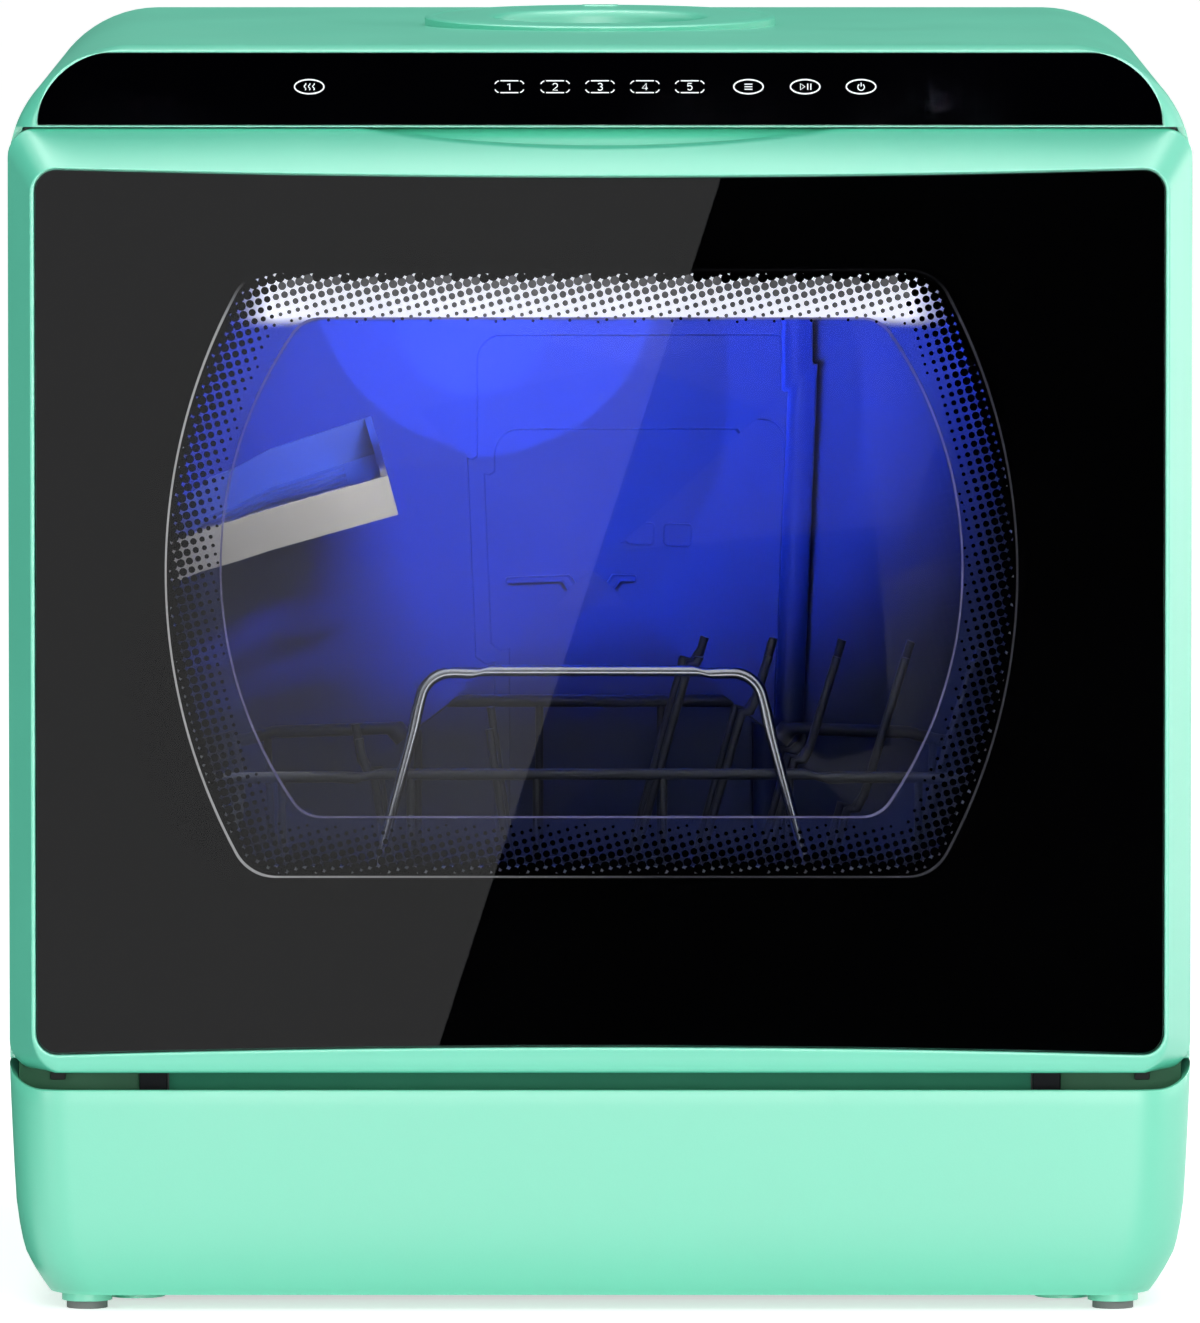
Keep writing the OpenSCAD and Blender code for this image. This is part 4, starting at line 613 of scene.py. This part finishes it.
# ---------------------------------------------------------------- water inlet
# A moulded ring and bowl let into the casing's top, its rim rising a little to a pull tab at the
# back, with a fine strainer in its floor.
inlet_y, rim_z = 8, 443
seat = [(51.7, 449), (64, 449)]
rim = [(64.1, 449.6), (63.7, 450.0), (62.6, 450.3), (61.2, 450.3), (60.4, 449.9), (59.6, 449.9),
       (58.8, 450.2), (50, 449.9), (42, 450.0), (40, 449.8), (38.6, 449.0), (37.8, 447.6), (37.2, 445.5)]
bowl = [(33.4, 439), (27, 432), (9, 431), (9, 425), (12, 425), (12, 428), (29.5, 429), (36, 437),
        (40, 443), (51.7, 445)]

def inlet_ring(r, z, lift=0.0):
    """A level ring round the inlet, tilted up towards the back by its lift."""
    angles = [math.pi * i / 60 for i in range(120)]
    return [(r * math.cos(a), inlet_y + r * math.sin(a),
             z + lift * (0.5 + 1.75 * (1 + r * math.sin(a) / 64))) for a in angles]

rings = [inlet_ring(r, z) for r, z in seat]
rings += [inlet_ring(r, z, min(1.0, (z - rim_z) / 6)) for r, z in rim]
rings += [inlet_ring(r, z) for r, z in bowl]
tab = slab_z(rounded(-7, 7, 64, 71.5, 2.4, corner=5, edge=3), 452.4, 454.4, 0.4)
make_piece("inlet_funnel", [loft(rings, closed=True), tab], "cabinet", mint_plastic,
           ["inlet_funnel"], crease=40)
finish_nodes(white_plastic, "inlet_strainer")

# ---------------------------------------------------------------- console
# Curved mint fascia clipped to the front of the casing, drawn in round a pocket for the panel.
console_z0, top_z = 420.0, 449.0

def strip_ring(y, half, z1, r, z0=console_z0):
    """Outline of a strip cut from the top of a round-cornered arch, up its right end and over."""
    start = math.degrees(math.asin(min(1.0, max(-1.0, (z0 - (z1 - r)) / r))))
    right = arc(half - r, z1 - r, r, r, start, 90, 22)
    top = [((half - r) * (1 - i / 6), z1) for i in range(1, 12)]
    left = [(-x, z) for x, z in reversed(right)]
    bottom = [(-half * 0.98 * (1 - i / 8), z0) for i in range(1, 16)]
    return [(x, y, z) for x, z in right + top + left + bottom]

def eased(t, table):
    """Reads a table of (t, value) pairs, straight between them."""
    for (t0, v0), (t1, v1) in zip(table, table[1:]):
        if t <= t1:
            return v0 + (v1 - v0) * (t - t0) / (t1 - t0)
    return table[-1][1]

fascia = []
for t in (0, 0.15, 0.3, 0.42, 0.54, 0.64, 0.72, 0.8, 0.87, 0.93, 0.97):
    side = eased(t, [(0, 0), (0.35, 1.2), (0.65, 3.7), (0.88, 6.7), (1, 9)])
    rise = eased(t, [(0, 0), (0.35, 0.3), (0.65, 0.9), (0.88, 1.5), (1, 2)])
    fascia.append(strip_ring(-186 - 8.5 * t, 210 - side, top_z - rise, 44 - side * 1.5))
fascia += [strip_ring(y, half, z1, r, console_z0 + lift) for y, half, z1, r, lift in (
    (-194.42, 200.75, 446.95, 30.1, 0), (-194.5, 200.45, 446.85, 29.6, 0),
    (-194.5, 199.85, 446.6, 26.2, 0.35), (-194.36, 199.6, 446.48, 26.0, 0.5),
    (-192.6, 199.6, 446.48, 26.0, 0.5), (-192.6, 190, 441, 20, 4), (-186, 190, 441, 20, 4))]
make_piece("console_front", [loft(fascia, closed=True)], "cabinet", mint_plastic,
           ["console_front"], crease=40)

# ---------------------------------------------------------------- control panel
# Gloss black acrylic strip glued into the fascia, with plain pale marks printed on it: five
# numbered programmes and four touch keys. The marks carry a faint painted glow.
panel_black = toned("panel_black", srgb(0, 0, 1), srgb(2, 2, 3), (3.0, 70.0),
                    {"Specular IOR Level": 0.3}, gloss=("Flow", 0.01, 0.0))
face = [strip_ring(y, half, z1, r, z0) for y, half, z1, r, z0 in (
    (-192.75, 199.3, 446.25, 25.4, 420.75), (-194.2, 199.3, 446.25, 25.4, 420.75),
    (-194.35, 199.1, 446.1, 25.3, 420.95))]
make_piece("control_panel", [loft(face, caps=True)], "cabinet", panel_black,
           ["control_panel"])

def ribbon(points, width, y0, y1, closed=False):
    """A flat line of even width along points of the X-Z plane, as a thin closed solid."""
    n = len(points)
    left, right = [], []
    for i, (x, z) in enumerate(points):
        before = points[i - 1] if i or closed else points[0]
        after = points[(i + 1) % n] if i < n - 1 or closed else points[-1]
        dx, dz = after[0] - before[0], after[1] - before[1]
        size = math.hypot(dx, dz) or 1
        nx, nz = -dz / size * width / 2, dx / size * width / 2
        left.append((x + nx, z + nz))
        right.append((x - nx, z - nz))
    points, faces = [], []
    for y in (y0, y1):
        points += [(x, y, z) for x, z in left] + [(x, y, z) for x, z in right]
    spans = n if closed else n - 1
    for i in range(spans):
        j = (i + 1) % n
        a, b, c, d = i, j, n + j, n + i
        faces += [(a, b, c, d), (a + 2 * n, d + 2 * n, c + 2 * n, b + 2 * n),
                  (a, a + 2 * n, b + 2 * n, b), (d, c, c + 2 * n, d + 2 * n)]
    if not closed:
        faces += [(0, n, 3 * n, 2 * n), (n - 1, 3 * n - 1, 4 * n - 1, 2 * n - 1)]
    return points, faces

marks = []
mark_y, mark_z = (-194.37, -194.352), 434.3

def draw(points, width=0.36, closed=False):
    marks.append(ribbon(points, width, *mark_y, closed=closed))

numerals = {
    1: [[(-0.8, 0.75), (0.15, 1.4), (0.15, -1.4)]],
    2: [arc(0, 0.5, 0.95, 0.9, 165, -35, 10) + [(-0.95, -1.4), (1.05, -1.4)]],
    3: [arc(0, 0.68, 0.9, 0.72, 150, -90, 10), arc(0, -0.7, 0.98, 0.74, 90, -150, 10)],
    4: [[(0.55, -1.4), (0.55, 1.4), (-1.1, -0.65), (1.15, -0.65)]],
    5: [[(0.85, 1.4), (-0.75, 1.4), (-0.85, 0.25)] + arc(-0.02, -0.45, 0.98, 0.92, 140, -145, 12)],
}
for i, x in enumerate((-32.1, -15.9, 0, 15.9, 31.8)):
    for side in (-1, 1):
        draw(arc(x + side * 3.4, mark_z, 1.9, 2.1, 90 - side * 12, 90 - side * 62, 8), 0.4)
        draw(arc(x + side * 3.4, mark_z, 1.9, 2.1, 270 + side * 12, 270 + side * 62, 8), 0.4)
    draw([(x - 3.2, mark_z + 2.1), (x + 3.2, mark_z + 2.1)], 0.4)
    draw([(x - 3.2, mark_z - 2.1), (x + 3.2, mark_z - 2.1)], 0.4)
    for stroke in numerals[i + 1]:
        draw([(x + px * 0.86, mark_z + pz * 0.86) for px, pz in stroke], 0.36)
for x in (-103.0, 52.6, 72.7, 92.5):
    draw(arc(x, mark_z, 5.2, 2.5, 0, 354, 59), 0.5, closed=True)
for i in (-1, 0, 1):
    draw([(-103 + 1.5 * i + 0.35 * math.sin(k * 1.1), mark_z - 1.2 + 0.3 * k) for k in range(9)], 0.32)
for dz in (0.9, 0, -0.9):
    draw([(51.2, mark_z + dz), (54, mark_z + dz)])
draw([(71.0, mark_z - 1.1), (71.0, mark_z + 1.1), (72.6, mark_z)], closed=True)
for x in (73.6, 74.7):
    draw([(x, mark_z - 1.1), (x, mark_z + 1.1)], 0.42)
draw(arc(92.5, mark_z - 0.15, 1.15, 1.15, 125, 415, 20))
draw([(92.5, mark_z + 0.1), (92.5, mark_z + 1.45)])

# The marks are printed ink with a faint painted glow added.
mark_ink_glow = toned("mark_ink_glow", srgb(200, 204, 208), srgb(236, 238, 240), (0.4, 6.0), {"Roughness": 0.5},
                 by="Height", glow=0.35)
make_piece("panel_marks", marks, "cabinet", mark_ink_glow)

# ---------------------------------------------------------------- door frame
# One mint moulding: a skirt, bevels that narrow towards the glass, a thin lip round the glass,
# a ledge that the glass is glued on, and a finger scoop in its top edge.
scoop_half, scoop_depth = 81, 6.2
scoop_r = (scoop_half ** 2 + scoop_depth ** 2) / (2 * scoop_depth)
door_half, door_low, door_top, door_r = 210, 85.0, 419.45, 10
hinge_x = 159

def scoop_z(x):
    """Height of the door's top edge where the finger scoop is at its fullest."""
    if abs(x) >= scoop_half:
        return 1e9
    return 419 - scoop_depth + scoop_r - math.sqrt(scoop_r ** 2 - x * x)

def door_ring(y, half, z0, z1, r, bow=0.0, scoop=0.0):
    """Ring of the door's outline at depth y, its top and bottom edges bowed in by bow."""
    reach_x, points = half - r, []
    for cx, cz, start in ((reach_x, z0 + r, -90), (reach_x, z1 - r, 0),
                          (-reach_x, z1 - r, 90), (-reach_x, z0 + r, 180)):
        corner = arc(cx, cz, r, r, start, start + 90, 9)
        points += corner
        if start == 0:
            points += [(reach_x - 2 * reach_x * i / 72, z1) for i in range(1, 72)]
        elif start == 180:
            points += [(2 * reach_x * i / 30 - reach_x, z0) for i in range(1, 30)]
        else:
            x, z = corner[-1]
            end = z1 - r if start == -90 else z0 + r
            points += [(x, z + (end - z) * i / 8) for i in range(1, 8)]
    middle, ring = (z0 + z1) / 2, []
    for x, z in points:
        z -= bow * (1 - (x / half) ** 2) * (z - middle) / (z1 - middle)
        if scoop:
            z = min(z, door_top - (door_top - scoop_z(x)) * scoop)
        ring.append((x, y, z))
    return ring

def nose_z(y):
    """Height of the door's round lower back edge."""
    return max(door_low, 95 - math.sqrt(max(0.0, 13 ** 2 - (y + 200) ** 2))) if y > -200 else door_low

def mid(p, q, t):
    return tuple(a + (b - a) * t for a, b in zip(p, q))

front = door_ring(-215, 201.5, 90, 406.95, 9.6, 3.0)
back = door_ring(-193, door_half, door_low, door_top, door_r)
crease_ring = []
for p, q in zip(front, back):
    t, limit = 0.955, scoop_z(p[0])
    if p[2] > 300 and q[2] > limit:
        t = min(t, (limit - p[2]) / (q[2] - p[2]))
    crease_ring.append(mid(p, q, t))

def full_chin(t):
    """A ring of the bevel, its lower edge rounded out so that it faces forward."""
    ring = [mid(p, q, t) for p, q in zip(front, crease_ring)]
    fade, half = math.exp(-t / 0.035), 201.5 + 8.1 * t
    for i, (x, y, z) in enumerate(ring):
        if z < 130:
            w = max(0.0, min(1.0, (half - abs(x)) / 9.8))
            ring[i] = (x, y, z + (door_low + (z - door_low) * fade - z) * w)
    return ring

rings = [door_ring(*row) for row in (
    (-209.9, 194.9, 98.1, 399.4, 8, 2.9), (-209.9, 200.1, 91.4, 406.5, 8.2, 3.0),
    (-214.75, 200.1, 91.4, 406.5, 8.2, 3.0), (-214.93, 200.18, 91.32, 406.55, 8.3, 3.0),
    (-215, 200.35, 91.15, 406.65, 8.4, 3.0), (-215, 201.25, 90.3, 406.85, 9.3, 3.0),
    (-214.9, 201.46, 90.05, 406.95, 9.5, 3.0))]
rings += [full_chin(t) for t in (0.012, 0.025, 0.045, 0.07, 0.11, 0.17, 0.3, 0.5, 0.75, 0.94)]
rings.append(crease_ring)
for y, grow, scoop in ((-193.5, -0.12, 0.9), (-192.6, 0, 0.64), (-191, 0, 0.22), (-189.6, 0, 0.05),
                       (-188.5, 0, 0), (-187.6, 0, 0), (-187.2, 0, 0)):
    rings.append(door_ring(y, door_half + grow, max(door_low - grow, nose_z(y)), door_top + grow,
                           door_r, scoop=scoop))
rings += [door_ring(*row) for row in (
    (-187, 209.7, nose_z(-187), door_top - 0.3, door_r), (-187, 199.3, 103.6, 400.7, 5.2),
    (-187.4, 198.9, 104, 400.3, 5), (-207.9, 198.9, 104, 400.3, 5),
    (-207.9, 194.9, 104.4, 399.4, 8, 1.0))]
door_frame = make_piece("door_frame", [loft(rings, closed=True)], "door", mint_plastic,
                        ["door_frame"], crease=38)

def cut_boxes(piece, boxes):
    """Cuts boxes, given by two corners in mm, out of a piece and applies the cut."""
    parts = [slab_z([(x0, y0), (x1, y0), (x1, y1), (x0, y1)], z0, z1)
             for (x0, y0, z0), (x1, y1, z1) in boxes]
    cutter = bpy.data.objects.new("cutter", closed_mesh("cutter", parts))
    scene.collection.objects.link(cutter)
    cut = piece.modifiers.new("cut", "BOOLEAN")
    cut.object, cut.operation, cut.solver = cutter, "DIFFERENCE", "EXACT"
    shown = piece.evaluated_get(bpy.context.evaluated_depsgraph_get())
    mesh = bpy.data.meshes.new_from_object(shown)
    piece.modifiers.clear()
    piece.data = mesh
    bpy.data.objects.remove(cutter)

cut_boxes(door_frame, [((x - 6, -208, 84), (x + 6, -186, 104.2)) for x in (-hinge_x, hinge_x)])

# ---------------------------------------------------------------- door glass
# Toughened smoked glass, 4 mm, with ground arrises, glued on the ledge in the frame.
glass = toned("glass", (0.9, 0.91, 0.93, 1), (0.94, 0.95, 0.96, 1), (3.0, 60.0),
              {"Transmission Weight": 1, "IOR": 1.5}, gloss=("Flow", 0.004, 0.0))

def glass_ring(y, grow):
    return door_ring(y, 199.9 + grow, 91.6 - grow, 405.9 + grow, 8 + grow, 3.0)

rings = [glass_ring(*row) for row in ((-214.2, -0.35), (-213.9, 0), (-210.5, 0), (-210.22, -0.35))]
make_piece("door_glass", [loft(rings, caps=True)], "door", glass, ["door_glass"])

# ---------------------------------------------------------------- glass print
# Black ceramic ink behind the glass leaves a barrel-shaped window. Towards the window it breaks
# up into dots that shrink, drawn grey with a painted glow along the top; a thin pale line, a painted
# highlight, follows the window's outline.

window_x, window_z = -3.0, 262.5
window_half, window_end, window_h = 150.6, 121.0, 107.5

def window_outline(inset, r):
    """The barrel-shaped window drawn in by inset, anticlockwise from the right end of its top."""
    half, h, sag = window_half - inset, window_h - inset, window_half - window_end
    side_r = (h * h + sag * sag) / (2 * sag)
    sx = half - side_r
    cx, cz = sx + math.sqrt((side_r - r) ** 2 - (h - r) ** 2), h - r
    turn = math.degrees(math.atan2(cz, cx - sx))
    upper = arc(cx, cz, r, r, 90, turn, 10)[:-1] + arc(sx, 0, side_r, side_r, turn, 0, 24)
    right = upper + [(x, -z) for x, z in reversed(upper[:-1])]
    bottom = [(cx - cx * i / 8, -h) for i in range(1, 16)]
    left = [(-x, z) for x, z in reversed(right)]
    top = [(cx * i / 8 - cx, h) for i in range(1, 16)]
    return [(x + window_x, z + window_z) for x, z in right + bottom + left + top]

def window_ring(y, inset, r):
    return [(x, y, z) for x, z in window_outline(inset, r)]

def reach(outline, angle):
    """Where a ray from the window's centre at an angle leaves a convex outline."""
    dx, dz, best = math.cos(angle), math.sin(angle), 0.0
    for (ax, az), (bx, bz) in zip(outline, outline[1:] + outline[:1]):
        ex, ez = bx - ax, bz - az
        det = ex * dz - ez * dx
        if abs(det) < 1e-12:
            continue
        t = (ex * (az - window_z) - ez * (ax - window_x)) / det
        u = (dx * (az - window_z) - dz * (ax - window_x)) / det
        if -1e-6 <= u <= 1 + 1e-6:
            best = max(best, t)
    return window_x + dx * best, window_z + dz * best

def spokes(*outlines):
    """The angles from the window's centre to the points of some outlines, in order."""
    angles = sorted(math.atan2(z - window_z, x - window_x) for line in outlines for x, z in line)
    return [a for a, b in zip(angles, angles[1:] + [99]) if b - a > 1e-5]

def spun(outline, y, angles):
    return [(x, y, z) for x, z in (reach(outline, a) for a in angles)]

outer_edge = [(x, z) for x, y, z in glass_ring(0, -0.4)]
inner_edge = window_outline(1.1, 15.5)
turns = spokes(outer_edge, inner_edge)
sheet = loft([spun(edge, y, turns) for edge, y in (
    (outer_edge, -210.18), (inner_edge, -210.18), (inner_edge, -209.95), (outer_edge, -209.95))],
    closed=True)

def window_inset(x, z):
    """How far a point lies inside the window's outline, along its shortest way."""
    x, z, r = abs(x - window_x), abs(z - window_z), 16
    sag = window_half - window_end
    side_r = (window_h ** 2 + sag ** 2) / (2 * sag)
    sx, cz = window_half - side_r, window_h - r
    cx = sx + math.sqrt((side_r - r) ** 2 - cz ** 2)
    if x > cx and math.atan2(z - cz, x - cx) > math.atan2(cz, cx - sx):
        return r - math.hypot(x - cx, z - cz)
    return min(side_r - math.hypot(x - sx, z), window_h - z)

dots, lit_dots = [], []
pitch, lean, band = 3.17, math.radians(15), 18.5
dot_sizes = [(0, 2.1), (0.12, 1.82), (0.22, 1.6), (0.36, 1.4), (0.6, 1.08), (1, 0.5)]
for i in range(-75, 76):
    for j in range(-75, 76):
        x = window_x + pitch * (i * math.cos(lean) - j * math.sin(lean))
        z = window_z + pitch * (i * math.sin(lean) + j * math.cos(lean))
        inset = window_inset(x, z)
        if not -2.0 < inset < band - 0.2:
            continue
        r = eased(max(0.0, inset) / band, dot_sizes)
        if inset < r - 0.6:
            r = max(0.6, min(r, inset + 2.2))
        lift = 0.012 * ((i + j) % 2)
        ring = arc(x, z, r, r, 0, 330, 11)
        dot = loft([[(px, y + lift, pz) for px, pz in ring] for y in (-210.19, -210.1)], caps=True)
        lit = z > 353 and abs(x - window_x) < 112 and inset > 2.9
        (lit_dots if lit else dots).append(dot)
black_print = toned("black_print", srgb(2, 2, 3), srgb(5, 5, 6), (0.3, 25.0),
                    {"Specular IOR Level": 0.0}, gloss=("Height", 0.2, 0.6))
make_piece("glass_print", [sheet], "door", black_print, ["glass_print"])
make_piece("print_dots", dots, "door", black_print)
# The dots along the top are black ink drawn grey and glowing: a painted glow for the light behind them.
print_painted_glow = toned("print_painted_glow", srgb(20, 20, 22), srgb(96, 96, 98), (0.3, 45.0), {"Roughness": 0.6},
                  glow=0.9)
make_piece("print_dots_painted_glow", lit_dots, "door", print_painted_glow)

# ---------------------------------------------------------------- door liner and inner window
# White inner panel of the door, closed round by its flange, with a clear funnel-shaped bezel
# that leads from the glass to the inner pane. Along the top the bezel is white with a painted glow.
liner_white = moulded_plastic("liner_white", srgb(200, 204, 208), 0.4, grain=1.0, relief=0.04, dust=0)

def plain_edge(half, z0, z1, r):
    return rounded(-half, half, z0, z1, r, edge=6)

flange, inside = plain_edge(198.5, 104.4, 399.9, 5), plain_edge(169.6, 114.4, 395.6, 15.6)
box, box_edge = plain_edge(172, 112, 398, 18), plain_edge(171.5, 112.5, 397.5, 17.5)
hole_edge = window_outline(1.0, 16)
turns = spokes(box_edge, hole_edge)
rings = [spun(edge, y, turns) for edge, y in (
    (inside, -189.2), (flange, -189.2), (flange, -187.2), (box, -187.2), (box, -176.6),
    (box_edge, -176.1), (window_outline(0.6, 16), -176.1), (hole_edge, -176.5),
    (hole_edge, -178.4), (inside, -178.4))]
make_piece("door_liner", [loft(rings, closed=True)], "door", liner_white,
           ["door_liner"], crease=35)

pane = toned("pane", (0.93, 0.94, 0.96, 1), (0.96, 0.97, 0.98, 1), (4.0, 80.0),
             {"Transmission Weight": 1, "IOR": 1.2, "Roughness": 0})
rings = [window_ring(*row) for row in ((-179.0, 1.4, 15.7), (-178.8, 1.1, 16), (-177.0, 1.1, 16),
                                       (-176.8, 1.4, 15.7))]
make_piece("inner_window", [loft(rings, caps=True)], "door", pane, ["inner_window"])

def axes(nodes, links):
    """The shaded point's place along each axis, in the piece's own space."""
    split = nodes.new("ShaderNodeSeparateXYZ")
    links.new(nodes.new("ShaderNodeTexCoord").outputs["Object"], split.inputs[0])
    return split.outputs

def ramp(nodes, links, value, start, end):
    """Goes from 0 to 1 as the value goes from start to end."""
    node = nodes.new("ShaderNodeMapRange")
    links.new(value, node.inputs["Value"])
    node.inputs["From Min"].default_value, node.inputs["From Max"].default_value = start, end
    return node.outputs[0]

painted_glow_bezel, nodes, links = new_material("bezel_painted_glow")
shader, place = nodes["Principled BSDF"], axes(nodes, links)
# White and glowing along the top: a painted glow for the light that falls there; elsewhere nearly clear
# and faintly blue.
high = ramp(nodes, links, place["Z"], 0.348, 0.353)
off_middle = math_node(nodes, links, "ADD", place["X"], 0.003)
wide = ramp(nodes, links, math_node(nodes, links, "ABSOLUTE", off_middle), 0.128, 0.112)
painted_glow_mask = math_node(nodes, links, "MULTIPLY", high, wide)
links.new(math_node(nodes, links, "MULTIPLY_ADD", painted_glow_mask, 0.92, 0.08), shader.inputs["Alpha"])
texture = use_group(nodes, "moulding", Grain_Size=1.0, Flow_Size=40.0)
white = mix_colour(nodes, links, texture.outputs["Flow"], srgb(222, 224, 236), srgb(244, 244, 250))
links.new(mix_colour(nodes, links, painted_glow_mask, srgb(90, 110, 200), white), shader.inputs["Base Color"])
links.new(mix_colour(nodes, links, painted_glow_mask, (0, 0, 0, 1), white), shader.inputs["Emission Color"])
set_inputs(shader, {"Emission Strength": 1.0, "Roughness": 0.4})
rings = [window_ring(*row) for row in ((-209.6, 0.2, 16), (-179.4, 18.2, 12.2), (-179.4, 17.2, 12.8),
                                       (-209.0, -0.9, 16))]
make_piece("bezel", [loft(rings, closed=True)], "door", painted_glow_bezel)

# A thin line behind the glass along the window's outline, glowing pale grey towards the left and dark
# along the top: a painted highlight.
line_painted_highlight, nodes, links = new_material("edge_painted_highlight")
shader, place = nodes["Principled BSDF"], axes(nodes, links)
grey = mix_colour(nodes, links, ramp(nodes, links, place["X"], -0.15, 0.02),
                  srgb(150, 150, 150), srgb(50, 50, 54))
grey = mix_colour(nodes, links, ramp(nodes, links, place["Z"], 0.352, 0.366), grey, srgb(8, 8, 9))
links.new(grey, shader.inputs["Base Color"])
links.new(grey, shader.inputs["Emission Color"])
set_inputs(shader, {"Emission Strength": 0.8, "Roughness": 0.6, "Specular IOR Level": 0.0})
rings = [window_ring(y, inset, 16) for y, inset in (
    (-210.214, -0.5), (-210.214, 0.2), (-210.2, 0.2), (-210.2, -0.5))]
make_piece("window_painted_highlight", [loft(rings, closed=True)], "door", line_painted_highlight)

# A thin ring along the bezel's inner fold, wandering from dark to pale lavender and glowing: a painted
# glint.
inner_painted_glint = toned("inner_painted_glint", srgb(20, 20, 50), srgb(120, 118, 160), (2.0, 22.0),
                   {"Roughness": 0.4}, glow=0.5)
rings = [window_ring(*row) for row in ((-179.9, 18.3, 12.2), (-179.9, 19.0, 12), (-179.1, 19.0, 12),
                                       (-179.1, 18.3, 12.2))]
make_piece("inner_painted_glint", [loft(rings, closed=True)], "door", inner_painted_glint)
